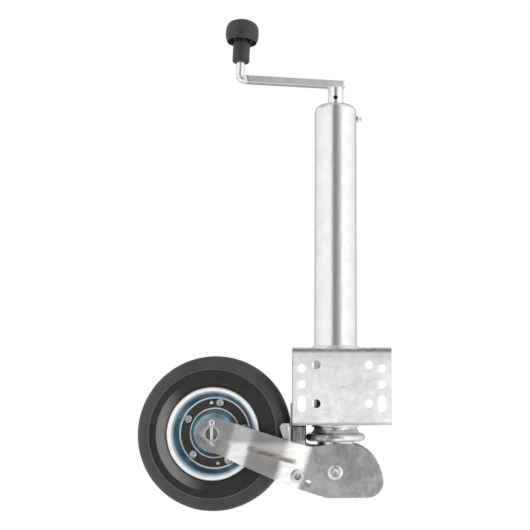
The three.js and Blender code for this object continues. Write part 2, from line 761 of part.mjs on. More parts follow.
function makeAxle() {
  const bar = solid(barY(AXLE_R, -AXLE_HALF, AXLE_HALF));
  const bores = [
    solid(barY(AXLE_BORE, -AXLE_HALF - 1, AXLE_WEB_LOW)),
    solid(barY(AXLE_BORE, AXLE_WEB_HIGH, AXLE_HALF + 1)),
  ];
  const pinHoles = [-1, 1].map((side) => {
    const hole = barZ(SPLIT_PIN_R + 0.15, -14, 14, 12);
    return solid(hole.translate(0, side * SPLIT_PIN_Y, 0));
  });
  part(fork, "axle_tube", cut(bar, ...bores, ...pinHoles), zincSmall, [AXLE_X, 0, AXLE_Z]);

  const half = 12.8;
  const face = END_OFFSET + FORK_SHEET + GAP;
  for (const [name, side] of [["front", -1], ["rear", 1]]) {
    const plate = box([-half, face, -half], [half, face + 0.8, half]).rotateY(Math.PI / 4);
    const washer = cut(solid(plate), solid(barY(AXLE_R + 0.3, face - 1, face + 2, 28)));
    const place = [AXLE_X, 0, AXLE_Z];
    part(fork, `axle_washer_${name}`, washer, zincSmall, place, side < 0 ? [0, 0, Math.PI] : [0, 0, 0]);

    const eye = 4.6;
    const legs = barZ(SPLIT_PIN_R, -15, 13, 8);
    const loop = new THREE.TorusGeometry(eye - SPLIT_PIN_R, SPLIT_PIN_R, 6, 14).rotateX(Math.PI / 2);
    loop.translate(0, 0, 12 + eye - SPLIT_PIN_R);
    const tail = barZ(SPLIT_PIN_R * 0.8, -7, 0, 8).rotateY(-0.9).translate(0, 0, -13.6);
    const pin = join(solid(legs), solid(loop), solid(tail));
    part(fork, `split_pin_${name}`, pin, brightSteel, [AXLE_X, side * SPLIT_PIN_Y, AXLE_Z]);
  }
}

/** Near face of a rim half, from the lip to the hub, as radius and distance in front of the middle. */
const RIM_FACE = [
  [LIP_R, -24],
  [LIP_R - 0.9, -27.2],
  [LIP_R - 3.3, -28.8],
  [LIP_R - 6.3, -27.8],
  [LIP_R - 8.4, -24],
  [49.6, -4.4],
  [47.4, -RIM_SHEET - GAP / 2],
  [35.2, -RIM_SHEET - GAP / 2],
  [33, -4.4],
  [27.5, -16],
  [HUB_TUBE_R + 1.4, -20],
];

function makeRims() {
  const outline = sheetOutline(RIM_FACE, -RIM_SHEET);
  const holes = [];
  for (let i = 0; i < RIM_BOLTS; i += 1) {
    holes.push(barY(3.2, -10, 10, 8).translate(...onBoltCircle(i)));
  }
  for (const side of [0, Math.PI]) {
    holes.push(barY(2.2, -10, 10, 8).translate(...onCircle(RIVET_PHASE + side)));
  }
  for (const [name, side] of [["rim_front", 1], ["rim_rear", -1]]) {
    const profile = outline.map(([radius, height]) => [radius, side * height]);
    part(wheel, name, cut(solid(turnedY(profile, 30)), ...holes.map(solid)), blueZinc);
  }
}

function onCircle(angle) {
  return [RIM_BOLT_CIRCLE * Math.cos(angle), 0, RIM_BOLT_CIRCLE * Math.sin(angle)];
}

function onBoltCircle(index) {
  return onCircle(RIM_BOLT_PHASE + (2 * Math.PI * index) / RIM_BOLTS);
}

function makeRimFasteners() {
  const face = RIM_SHEET + GAP / 2 + GAP;
  for (let i = 0; i < RIM_BOLTS; i += 1) {
    const bolt = turnedY([
      [0, -face - 4],
      [4.4, -face - 4],
      [5.4, -face - 3],
      [5.4, -face],
      [2.9, -face],
      [2.9, face + 6],
      [0, face + 6],
    ], 10);
    part(wheel, `rim_bolt_${i + 1}`, bolt, zincSmall, onBoltCircle(i));
    const nut = cut(solid(barY(5.7, face, face + 4.6, 6)), solid(barY(3.05, face - 1, face + 6, 12)));
    part(wheel, `rim_nut_${i + 1}`, nut, zincSmall, onBoltCircle(i));
  }
  for (const [name, side] of [["rim_rivet_1", 0], ["rim_rivet_2", Math.PI]]) {
    const rivet = turnedY([
      [0, -face - 1.4],
      [2, -face - 1.2],
      [2.8, -face],
      [2, -face],
      [2, face],
      [2.8, face],
      [2, face + 1.2],
      [0, face + 1.4],
    ], 8);
    part(wheel, name, rivet, brightSteel, onCircle(RIVET_PHASE + side));
  }
}

function makeHub() {
  const bore = AXLE_R + 2.4;
  part(wheel, "hub_tube", turnedY(ring(bore, HUB_TUBE_R, -HUB_HALF, HUB_HALF), 24), zincSmall);
  for (const [name, side] of [["hub_bush_front", -1], ["hub_bush_rear", 1]]) {
    const profile = [
      [AXLE_R + RUNNING, 8],
      [bore - GAP, 8],
      [bore - GAP, HUB_HALF + GAP],
      [HUB_TUBE_R - 0.5, HUB_HALF + GAP],
      [HUB_TUBE_R - 0.5, HUB_HALF + 1.3],
      [AXLE_R + RUNNING, HUB_HALF + 1.3],
      [AXLE_R + RUNNING, 8],
    ];
    part(wheel, name, turnedY(profile.map(([r, y]) => [r, side * y]), 24), palePlastic);
  }
}

function makeTyre() {
  const wall = TYRE_HALF_W;
  const half = [
    [53.6, 0],
    [54.2, -5.5],
    [LIP_R - 4.2, -21.5],
    [LIP_R + 0.4, -22.4],
    [LIP_R + 0.6, -26.4],
    [77.5, -wall + 2],
    [86, -wall + 2],
    [88, -wall],
    [94.2, -wall + 2.4],
    [100.5, -wall + 8.5],
    [103.5, -16],
    [TYRE_R, -6],
  ];
  const other = half.slice(1).reverse().map(([radius, height]) => [radius, -height]);
  part(wheel, "tyre", turnedY([...half, ...other, half[0]], 40), rubber);
}

makeOuterTube();
makeBracket();
makeGreaseNipple();
drillNippleHole();
makeThrustBearing();
makeScrew();
makeCrank();
makeKnob();
makeInnerTube();
makeForkPlates();
makeForkBridge();
makeForkFittings();
makeCrossTube();
makeAxle();
makeRims();
makeRimFasteners();
makeHub();
makeTyre();

export default jack;
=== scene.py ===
"""Looks of the trailer tongue jack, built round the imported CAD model.

Pieces are drawn in millimetres in the row frame (+Z up, the bracket faces -Y) and made in metres.
"""

import json
import math

import bmesh
import bpy
from mathutils import Matrix, Vector, noise
from mathutils.geometry import delaunay_2d_cdt


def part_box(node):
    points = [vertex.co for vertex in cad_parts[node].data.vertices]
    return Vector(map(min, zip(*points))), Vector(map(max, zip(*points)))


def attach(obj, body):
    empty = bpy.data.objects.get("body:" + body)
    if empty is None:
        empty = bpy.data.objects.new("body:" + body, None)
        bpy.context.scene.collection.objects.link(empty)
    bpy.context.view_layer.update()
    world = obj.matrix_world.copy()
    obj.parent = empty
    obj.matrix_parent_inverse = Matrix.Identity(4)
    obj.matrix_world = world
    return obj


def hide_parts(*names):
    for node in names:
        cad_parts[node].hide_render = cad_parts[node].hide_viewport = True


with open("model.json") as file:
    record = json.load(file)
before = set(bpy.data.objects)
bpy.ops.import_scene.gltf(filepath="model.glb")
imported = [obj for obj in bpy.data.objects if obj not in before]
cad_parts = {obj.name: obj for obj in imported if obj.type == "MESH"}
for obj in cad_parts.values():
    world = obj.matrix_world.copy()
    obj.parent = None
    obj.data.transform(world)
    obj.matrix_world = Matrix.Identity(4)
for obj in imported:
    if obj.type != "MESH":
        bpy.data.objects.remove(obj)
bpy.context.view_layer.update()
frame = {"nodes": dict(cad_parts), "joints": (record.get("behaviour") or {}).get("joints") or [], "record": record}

MM = 0.001
IMAGE_SIZE = 530

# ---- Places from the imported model, and the fork's layout ----


def node_box(name):
    """Lowest and highest corner of a CAD node, in millimetres."""
    low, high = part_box(name)
    return low / MM, high / MM


def joint_place(name):
    joint = next(j for j in frame["joints"] if j["name"] == name)
    return Vector(joint["pos_m"]) / MM, Vector(joint["axis"]).normalized()


TUBE_LOW, TUBE_HIGH = node_box("outer_tube")
TUBE_X = (TUBE_LOW.x + TUBE_HIGH.x) / 2
TUBE_Y = (TUBE_LOW.y + TUBE_HIGH.y) / 2
BRACKET_LOW, BRACKET_HIGH = node_box("mount_bracket")
PIVOT, _ = joint_place("fork_fold")
AXLE, _ = joint_place("wheel_spin")
CRANK, _ = joint_place("crank_turn")
KNOB, KNOB_AXIS = joint_place("knob_spin")
AXIS = Vector((TUBE_X, TUBE_Y, 0))
TUBE_R = 30

FORK_SHEET = 4
ARM_HALF = 22.5
# Distance along the arm from its pivot, and of its inner face from the middle
BENDS = [(-80, 26.5), (42, 26.5), (74, 39.5), (122, 39.5), (147, 31.3), (210, 31.3)]
BEND_SOFTNESS = 5
TO_AXLE = Vector((AXLE.x - PIVOT.x, 0, AXLE.z - PIVOT.z))
FORK_U = TO_AXLE.normalized()
FORK_V = Vector((FORK_U.z, 0, -FORK_U.x))  # across the arm, upwards
FORK_TURN = math.atan2(FORK_U.z, FORK_U.x)

Z_UP = Matrix.Identity(3)
Y_BACK = Matrix(((0, 1, 0), (0, 0, 1), (1, 0, 0)))  # a turned piece whose height runs along +Y

# ---- Mesh helpers ----

SHARP = math.radians(32)  # edges that bend more are drawn sharp
BEVELLED_SHARP = math.radians(60)
BEVEL_FROM = math.radians(50)
SAME_PLACE_M = 1e-7


def arc(x, y, radius, start, end, steps):
    """Points of an arc, angles in degrees."""
    angles = [math.radians(start + (end - start) * i / steps) for i in range(steps + 1)]
    return [(x + radius * math.cos(a), y + radius * math.sin(a)) for a in angles]


def circle(x, y, radius, steps):
    return arc(x, y, radius, 0, 360, steps)[:-1]


def bezier(start, corner, end, t):
    return start * (1 - t) ** 2 + corner * 2 * t * (1 - t) + end * t * t


def linked(name, data):
    """New object in the scene."""
    item = bpy.data.objects.new(name, data)
    bpy.context.scene.collection.objects.link(item)
    return item


def shade(work, limit=SHARP):
    for face in work.faces:
        face.smooth = True
    for edge in work.edges:
        edge.smooth = edge.calc_face_angle(0) < limit


def closed_body(name, vertices, faces, bevel=0):
    """Object made from points in millimetres, with its faces outwards and its corners bevelled."""
    mesh = bpy.data.meshes.new(name)
    mesh.from_pydata([Vector(v) * MM for v in vertices], [], faces)
    work = bmesh.new()
    work.from_mesh(mesh)
    bmesh.ops.remove_doubles(work, verts=work.verts, dist=SAME_PLACE_M)
    bmesh.ops.recalc_face_normals(work, faces=work.faces)
    if bevel:
        corners = [e for e in work.edges if e.is_manifold and e.calc_face_angle(0) > BEVEL_FROM]
        shape = {"segments": 2, "profile": 0.5, "affect": "EDGES", "clamp_overlap": True}
        bmesh.ops.bevel(work, geom=corners, offset=bevel * MM, **shape)
    shade(work, BEVELLED_SHARP if bevel else SHARP)
    work.to_mesh(mesh)
    work.free()
    return linked(name, mesh)


def add_piece(name, vertices, faces, finish, body, replaces=(), bevel=0):
    """Makes a closed piece, which rides on a body."""
    piece = closed_body(name, vertices, faces, bevel)
    piece.data.materials.append(FINISHES[finish])
    if bevel:
        piece.modifiers.new("face_normals", "WEIGHTED_NORMAL").keep_sharp = True
    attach(piece, body)
    if replaces:
        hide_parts(*replaces)
    return piece


def turned(profile, centre, turn=Y_BACK, segments=96, closed=True):
    """Vertices and faces of a body turned about its height; the profile is points of radius and height."""
    vertices = []
    rows = []
    for radius, height in profile:
        row = []
        count = 1 if radius < 1e-6 else segments
        for i in range(count):
            a = 2 * math.pi * i / segments
            row.append(len(vertices))
            vertices.append(centre + turn @ Vector((radius * math.cos(a), radius * math.sin(a), height)))
        rows.append(row)
    faces = []
    for lower, upper in sides(rows) if closed else zip(rows, rows[1:]):
        for i in range(segments):
            quad = [lower[i % len(lower)], lower[(i + 1) % len(lower)]]
            quad += [upper[(i + 1) % len(upper)], upper[i % len(upper)]]
            quad = list(dict.fromkeys(quad))
            if len(quad) > 2:
                faces.append(quad)
    return vertices, faces


def turned_piece(name, profile, centre, segments, finish, body, node, turn=Y_BACK):
    return add_piece(name, *turned(profile, centre, turn, segments), finish, body, [node])


def merged(*parts):
    """Several sets of vertices and faces as one."""
    vertices, faces = [], []
    for points, loops in parts:
        first = len(vertices)
        vertices += points
        faces += [[first + i for i in loop] for loop in loops]
    return vertices, faces


def skin(rows, count, loop=False):
    """Faces between rows of points: a loop of rows, or a line of them with flat ends."""
    faces = []
    for i in range(rows if loop else rows - 1):
        j = (i + 1) % rows
        for k in range(count):
            n = (k + 1) % count
            faces.append([i * count + k, i * count + n, j * count + n, j * count + k])
    if not loop:
        faces.append(list(range(count)))
        faces.append([(rows - 1) * count + k for k in range(count)])
    return faces


def soft_corner(before, corner, after, radius, steps):
    """Points of a curve in place of a corner."""
    corner = Vector(corner)
    before, after = Vector(before) - corner, Vector(after) - corner
    reach = min(radius, before.length * 0.45, after.length * 0.45)
    start = corner + before.normalized() * reach
    end = corner + after.normalized() * reach
    return [tuple(bezier(start, corner, end, k / steps)) for k in range(steps + 1)]


def rounded(points, radius, steps=4):
    """Closed outline with its corners rounded."""
    result = []
    for before, corner, after in zip(points[-1:] + points, points, points[1:] + points[:1]):
        result += soft_corner(before, corner, after, radius, steps)
    return result


def softened(points, radius, steps):
    """Open line with its corners rounded."""
    result = [points[0]]
    for before, corner, after in zip(points, points[1:], points[2:]):
        result += soft_corner(before, corner, after, radius, steps)
    return result + [points[-1]]


def sides(loop):
    return zip(loop, loop[1:] + loop[:1])


def inside(point, loop):
    x, y = point
    odd = False
    for (x0, y0), (x1, y1) in sides(loop):
        if (y0 > y) != (y1 > y) and x < x0 + (y - y0) * (x1 - x0) / (y1 - y0):
            odd = not odd
    return odd


def far_from(point, loops, margin):
    for loop in loops:
        for (x0, y0), (x1, y1) in sides(loop):
            dx, dy = x1 - x0, y1 - y0
            length = dx * dx + dy * dy or 1e-9
            t = max(0, min(1, ((point[0] - x0) * dx + (point[1] - y0) * dy) / length))
            if math.hypot(point[0] - x0 - t * dx, point[1] - y0 - t * dy) < margin:
                return False
    return True


def sheet(outline, holes, place, spacing):
    """Sheet metal cut to an outline: place(u, v, side) puts a point of side 0 or 1 in space."""
    loops = [outline, *holes]
    us = [u for u, _ in outline]
    vs = [v for _, v in outline]
    points, edges = [], []
    for loop in loops:
        first = len(points)
        points += loop
        edges += [(first + i, first + (i + 1) % len(loop)) for i in range(len(loop))]
    columns = int((max(us) - min(us)) / spacing[0])
    rows = int((max(vs) - min(vs)) / spacing[1])
    margin = min(spacing) * 0.45
    for i in range(1, columns):
        for j in range(1, rows):
            u = min(us) + (max(us) - min(us)) * i / columns
            v = min(vs) + (max(vs) - min(vs)) * j / rows
            within = inside((u, v), outline) and not any(inside((u, v), hole) for hole in holes)
            if within and far_from((u, v), loops, margin):
                points.append((u, v))
    flat, _, triangles, *_ = delaunay_2d_cdt([Vector(p) for p in points], edges, [], 0, 1e-6)
    kept = []
    for triangle in triangles:
        middle = sum((flat[i] for i in triangle), Vector((0, 0))) / len(triangle)
        if inside(middle, outline) and not any(inside(middle, hole) for hole in holes):
            kept.append(list(triangle))
    count = len(flat)
    vertices = [place(p.x, p.y, 0) for p in flat] + [place(p.x, p.y, 1) for p in flat]
    faces = kept + [[i + count for i in reversed(t)] for t in kept]
    drawn = dict.fromkeys(side for triangle in kept for side in sides(triangle))
    faces += [[b, a, a + count, b + count] for a, b in drawn if (b, a) not in drawn]
    return vertices, faces


def smooth_step(low, high, value):
    t = max(0, min(1, (value - low) / (high - low)))
    return t * t * (3 - 2 * t)


# ---- Materials ----


class Graph:
    """Node tree, with short calls that add to it."""

    def __init__(self, tree):
        self.nodes = tree.nodes
        self.links = tree.links

    def feed(self, value, socket):
        """Sets a socket to a number, a color, a grey given as one number, or another node's output."""
        if isinstance(value, bpy.types.NodeSocket):
            self.links.new(value, socket)
        elif socket.type == "RGBA":
            socket.default_value = (*(value if isinstance(value, tuple) else (value,) * 3), 1)
        else:
            socket.default_value = value

    def new(self, kind, **inputs):
        """New node with its inputs fed."""
        node = self.nodes.new("ShaderNode" + kind)
        for name, value in inputs.items():
            self.feed(value, node.inputs[name.replace("_", " ")])
        return node

    def operate(self, kind, operation, values):
        node = self.new(kind)
        node.operation = operation
        for socket, value in zip(node.inputs, values):
            self.feed(value, socket)
        return node.outputs

    def math(self, operation, *values):
        return self.operate("Math", operation, values)["Value"]

    def times(self, first, *others):
        for other in others:
            first = self.math("MULTIPLY", first, other)
        return first

    def root_of_squares(self, a, b):
        return self.math("SQRT", self.math("ADD", self.times(a, a), self.times(b, b)))

    def mix(self, kind, *values):
        """Mix of the values two and three by the first, with the sockets of its kind of data."""
        node = self.new("Mix")
        node.data_type = kind
        for socket, value in zip((0, 6, 7) if kind == "RGBA" else (0, 2, 3), values):
            self.feed(value, node.inputs[socket])
        return node.outputs[2 if kind == "RGBA" else 0]


class Finish(Graph):
    """Node material with one Principled shader, and short calls that add its detail."""

    def __init__(self, name, metallic=0.0, roughness=0.5):
        self.material = bpy.data.materials.new("finish_" + name)
        self.material.use_nodes = True
        super().__init__(self.material.node_tree)
        self.inputs = self.nodes["Principled BSDF"].inputs
        self.feed(metallic, self.inputs["Metallic"])
        self.rough(roughness)
        self.place = self.new("TexCoord").outputs["Object"]

    def noise(self, scale, detail=3, roughness=0.6, stretch=None, turn=(0, 0, 0), distortion=0):
        place = self.place
        if stretch:
            place = self.new("Mapping", Vector=place, Scale=stretch, Rotation=turn).outputs["Vector"]
        node = self.new("TexNoise", Vector=place, Scale=scale, Detail=detail, Roughness=roughness)
        self.feed(distortion, node.inputs["Distortion"])
        return node.outputs["Fac"]

    def scaled(self, value, low, high, to_low=0, to_high=1):
        """Soft step from one level to another, as a value goes from low to high."""
        node = self.new("MapRange", Value=value, From_Min=low, From_Max=high, To_Min=to_low, To_Max=to_high)
        node.interpolation_type = "SMOOTHSTEP"
        return node.outputs["Result"]

    def band(self, value, start, full, fading, end):
        """1 between full and fading, and 0 outside start and end."""
        return self.times(self.scaled(value, start, full), self.scaled(value, fading, end, 1, 0))

    def ring(self, radius, middle, full, end, level=1):
        """A level near a radius, and 0 further from it than end."""
        away = self.math("ABSOLUTE", self.math("SUBTRACT", radius, middle))
        return self.scaled(away, full, end, level, 0)

    def blend(self, amount, a, b):
        return self.mix("RGBA", amount, a, b)

    def measure(self, origin, direction):
        """Distance of a point from an origin along a direction, in millimetres."""
        away = self.operate("VectorMath", "SUBTRACT", (self.place, Vector(origin) * MM))["Vector"]
        return self.operate("VectorMath", "DOT_PRODUCT", (away, Vector(direction) / MM))["Value"]

    def radius_about(self, origin):
        """Distance of a point from a line along Y, in millimetres."""
        return self.root_of_squares(self.measure(origin, (1, 0, 0)), self.measure(origin, (0, 0, 1)))

    def tone(self):
        """What gives the color so far."""
        return self.inputs["Base Color"].links[0].from_socket

    def color(self, value):
        self.feed(value, self.inputs["Base Color"])
        return self

    def rough(self, value):
        self.feed(value, self.inputs["Roughness"])
        return self

    def bump(self, height, strength, distance):
        node = self.new("Bump", Height=height, Strength=strength, Distance=distance)
        normal = self.inputs["Normal"]
        if normal.links:
            self.links.new(normal.links[0].from_socket, node.inputs["Normal"])
        self.links.new(node.outputs["Normal"], normal)
        return self


# The rim's two bends get a painted highlight.
BRIGHT_RINGS = (34, 48.4)  # radii of the rim's two bends


def zinc(name, light, dark, roughness, metallic=1.0, cloud=38, grain=900, contrast=0.35, scratches=0.25):
    """Zinc coat: cloudy spangle, fine grain, stains and handling scratches."""
    coat = Finish(name, metallic=metallic)
    clouds = coat.noise(cloud, 4, 0.62, distortion=0.6)
    grains = coat.noise(grain, 2, 0.7)
    tone = coat.blend(coat.scaled(clouds, 0.5 - contrast / 2, 0.5 + contrast / 2), dark, light)
    tone = coat.blend(coat.scaled(grains, 0.45, 0.75, 0, 0.16), tone, dark)
    strokes = coat.math(
        "MAXIMUM",
        coat.scaled(coat.noise(60, 2, 0.5, (1, 1, 16), (0.2, 0.5, 0.1)), 0.66, 0.72),
        coat.scaled(coat.noise(70, 2, 0.5, (18, 1, 1), (0.3, 0.2, 0.6)), 0.67, 0.73),
    )
    tone = coat.blend(coat.times(strokes, scratches), tone, tuple(0.45 * c for c in dark))
    spots = coat.scaled(coat.noise(260, 3, 0.6), 0.7, 0.78, 0, 0.5)
    tone = coat.blend(spots, tone, tuple(0.55 * c for c in dark))
    coat.color(tone)
    coat.rough(coat.scaled(clouds, 0.3, 0.7, roughness * 1.25, roughness * 0.85))
    coat.bump(grains, 0.12, 0.0004).bump(clouds, 0.1, 0.0012)
    return coat


def tube_coat():
    """Smooth bright zinc with drawn streaks, with painted shade on the tube between the bracket's flanges and on
    its left side below the bracket.
    """
    coat = zinc("zinc_tube", (0.88, 0.885, 0.89), (0.77, 0.775, 0.78), 0.2, contrast=0.7, scratches=0.15)
    streaks = coat.noise(75, 4, 0.65, (1, 1, 0.12))
    dents = coat.noise(120, 3, 0.6, (1, 1, 0.6))
    coat.bump(streaks, 0.12, 0.0012).bump(dents, 0.1, 0.0008)
    # Painted shade: the tube's left side below the bracket is darkened, for the bracket's shadow and the wheel's
    # dark reflection.
    below = coat.scaled(coat.measure((0, 0, BRACKET_LOW.z), (0, 0, -1)), -1, 4)
    leftward = coat.scaled(coat.measure((TUBE_X, 0, 0), (-1, 0, 0)), -4, 8, 0.12, 0.85)
    patchy = coat.scaled(coat.noise(90, 4, 0.65), 0.35, 0.6, 0.35, 1)
    shade_below_bracket = coat.times(below, leftward, patchy)
    tone = coat.blend(shade_below_bracket, coat.tone(), (0.16, 0.155, 0.15))
    # Painted shade: the outer tube is darkened between the bracket's flanges, where the bracket shades it.
    height = coat.measure((0, 0, 0), (0, 0, 1))
    between = coat.band(height, -50, -42, 42, 50)
    right = coat.measure(AXIS, (1, 0, 0))
    back = coat.measure(AXIS, (0, 1, 0))
    between = coat.times(between, coat.scaled(coat.root_of_squares(right, back), 26.5, 28))
    shade_inside_bracket = coat.times(between, coat.scaled(coat.noise(60, 3, 0.6), 0.3, 0.6, 0.6, 0.85))
    return coat.color(coat.blend(shade_inside_bracket, tone, (0.26, 0.25, 0.24)))


def bracket_coat():
    """Dull zinc on hot-rolled sheet, with a painted dark reflection along the upper bend, painted shade fading
    down from it and along the lower bend, and a painted dark line at the left edge.
    """
    coat = zinc(
        "zinc_sheet", (0.86, 0.86, 0.855), (0.6, 0.6, 0.6), 0.42, 0.4, cloud=26, contrast=0.5, scratches=0.5
    )
    height = coat.measure((0, 0, BRACKET_HIGH.z), (0, 0, 1))
    near = coat.scaled(coat.measure((0, 0, 0), (0, 1, 0)), 8, 14, 1, 0)
    torn = coat.times(coat.math("SUBTRACT", coat.noise(170, 4, 0.7), 0.5), 4.0)
    line = coat.math("ADD", height, torn)
    # Painted reflection: a dark, ragged band along the upper bend, where the bend would mirror a dim overhead.
    band = coat.band(line, -9.5, -4, -2.6, -1.6)
    patchy = coat.scaled(coat.noise(60, 3, 0.6), 0.2, 0.6, 0.55, 0.95)
    tone = coat.tone()
    mottle = coat.scaled(coat.noise(90, 5, 0.75), 0.42, 0.62, 0, 0.3)
    tone = coat.blend(mottle, tone, 0.45)
    # Painted shade that fades down the face from the upper bend.
    fall = coat.times(coat.scaled(line, -30, -6, 0, 0.35), near)
    tone = coat.blend(fall, tone, 0.4)
    tone = coat.blend(coat.times(band, near, patchy), tone, 0.13)
    # Painted reflection: the lower bend is darkened, as it would mirror the darker floor.
    lower = coat.band(height, -105.6, -104.6, -104, -100.5)
    tone = coat.blend(coat.times(lower, near, 0.5), tone, 0.3)
    # Painted shade: a dark line along the bracket's left edge.
    edge = coat.scaled(coat.measure((BRACKET_LOW.x, 0, 0), (1, 0, 0)), 0.6, 2.2, 0.8, 0)
    return coat.color(coat.blend(edge, tone, 0.2))


def fork_coat():
    """Satin zinc on pressed sheet: dull knuckle, painted shade on the arm's lower part and on the raised edge of
    the bridge, a painted shadow beside the bridge's web, painted highlights on the folds, a brown streak.
    """
    coat = zinc(
        "zinc_fork",
        (0.86, 0.86, 0.86),
        (0.42, 0.42, 0.42),
        0.3,
        0.92,
        cloud=30,
        contrast=0.3,
        scratches=0.4,
    )
    along = coat.measure(PIVOT, FORK_U)
    across = coat.measure(PIVOT, FORK_V)
    drawn = coat.scaled(coat.noise(130, 4, 0.7, (1, 1, 0.12)), 0.4, 0.7, 0, 0.35)
    knuckle = coat.blend(drawn, coat.tone(), 0.26)
    fleck = coat.scaled(coat.noise(420, 3, 0.7), 0.66, 0.76, 0, 0.4)
    knuckle = coat.blend(fleck, knuckle, 0.9)
    cloudy = coat.scaled(coat.noise(40, 4, 0.6), 0.3, 0.7)
    flat = coat.blend(cloudy, (0.84, 0.85, 0.83), (0.97, 0.98, 0.96))
    # Painted shade: the arm's lower part, under the crease, is darker than its upper part.
    flat = coat.blend(coat.scaled(across, -8, -3, 0.85, 0), flat, 0.38)
    tone = coat.blend(coat.scaled(along, 38, 46), knuckle, flat)
    brushed = coat.noise(150, 3, 0.6, (0.12, 1, 1), (0, FORK_TURN, 0))
    tone = coat.blend(coat.scaled(brushed, 0.5, 0.75, 0, 0.25), tone, (0.42, 0.42, 0.41))
    # Painted highlights: the sloped fold and the joggle are painted brighter, as they would mirror the bright
    # lights at either side.
    slope = coat.band(along, 38, 44, 72, 80)
    joggle_highlight = coat.band(along, 118, 124, 144, 150)
    highlight_streaks = coat.scaled(brushed, 0.35, 0.7)
    tone = coat.blend(slope, tone, coat.blend(highlight_streaks, (0.93, 0.93, 0.92), (0.78, 0.78, 0.77)))
    tone = coat.blend(joggle_highlight, tone, coat.blend(highlight_streaks, (0.82, 0.82, 0.81), (0.7, 0.7, 0.69)))
    run = coat.band(along, 48, 62, 121, 126)
    upper = coat.times(coat.scaled(across, 4, -3), coat.scaled(across, -6.4, -5.4))
    streak = coat.times(run, upper, coat.scaled(brushed, 0.3, 0.6, 0.5, 1))
    tone = coat.blend(coat.times(streak, 0.85), tone, (0.17, 0.125, 0.1))
    height = coat.measure(PIVOT, (0, 0, 1))
    rightward = coat.measure((PIVOT.x - 61, 0, 0), (1, 0, 0))
    raised = coat.scaled(height, 36, 44)
    # Painted shade on the raised edge of the bridge, left of its web.
    tone = coat.blend(coat.times(raised, coat.scaled(rightward, -4, -1, 0.75, 0)), tone, 0.3)
    # Painted shadow right of the bridge's web, broken up by streaky noise.
    shadow = coat.times(raised, coat.scaled(rightward, -0.5, 1.5))
    shadow_patches = coat.scaled(coat.noise(120, 3, 0.6, (1, 1, 0.1)), 0.35, 0.65, 0.6, 0.95)
    return coat.color(coat.blend(coat.times(shadow, shadow_patches), tone, 0.05))


def plain(name, metallic, scale, detail, dark, light, smooth, rough):
    """Finish with one cloudy pattern in its color, gloss and height."""
    finish = Finish(name, metallic)
    clouds = finish.noise(scale, detail, 0.6)
    finish.color(finish.blend(clouds, dark, light))
    return finish.rough(finish.scaled(clouds, 0.3, 0.7, smooth, rough)).bump(clouds, 0.08, 0.0003)


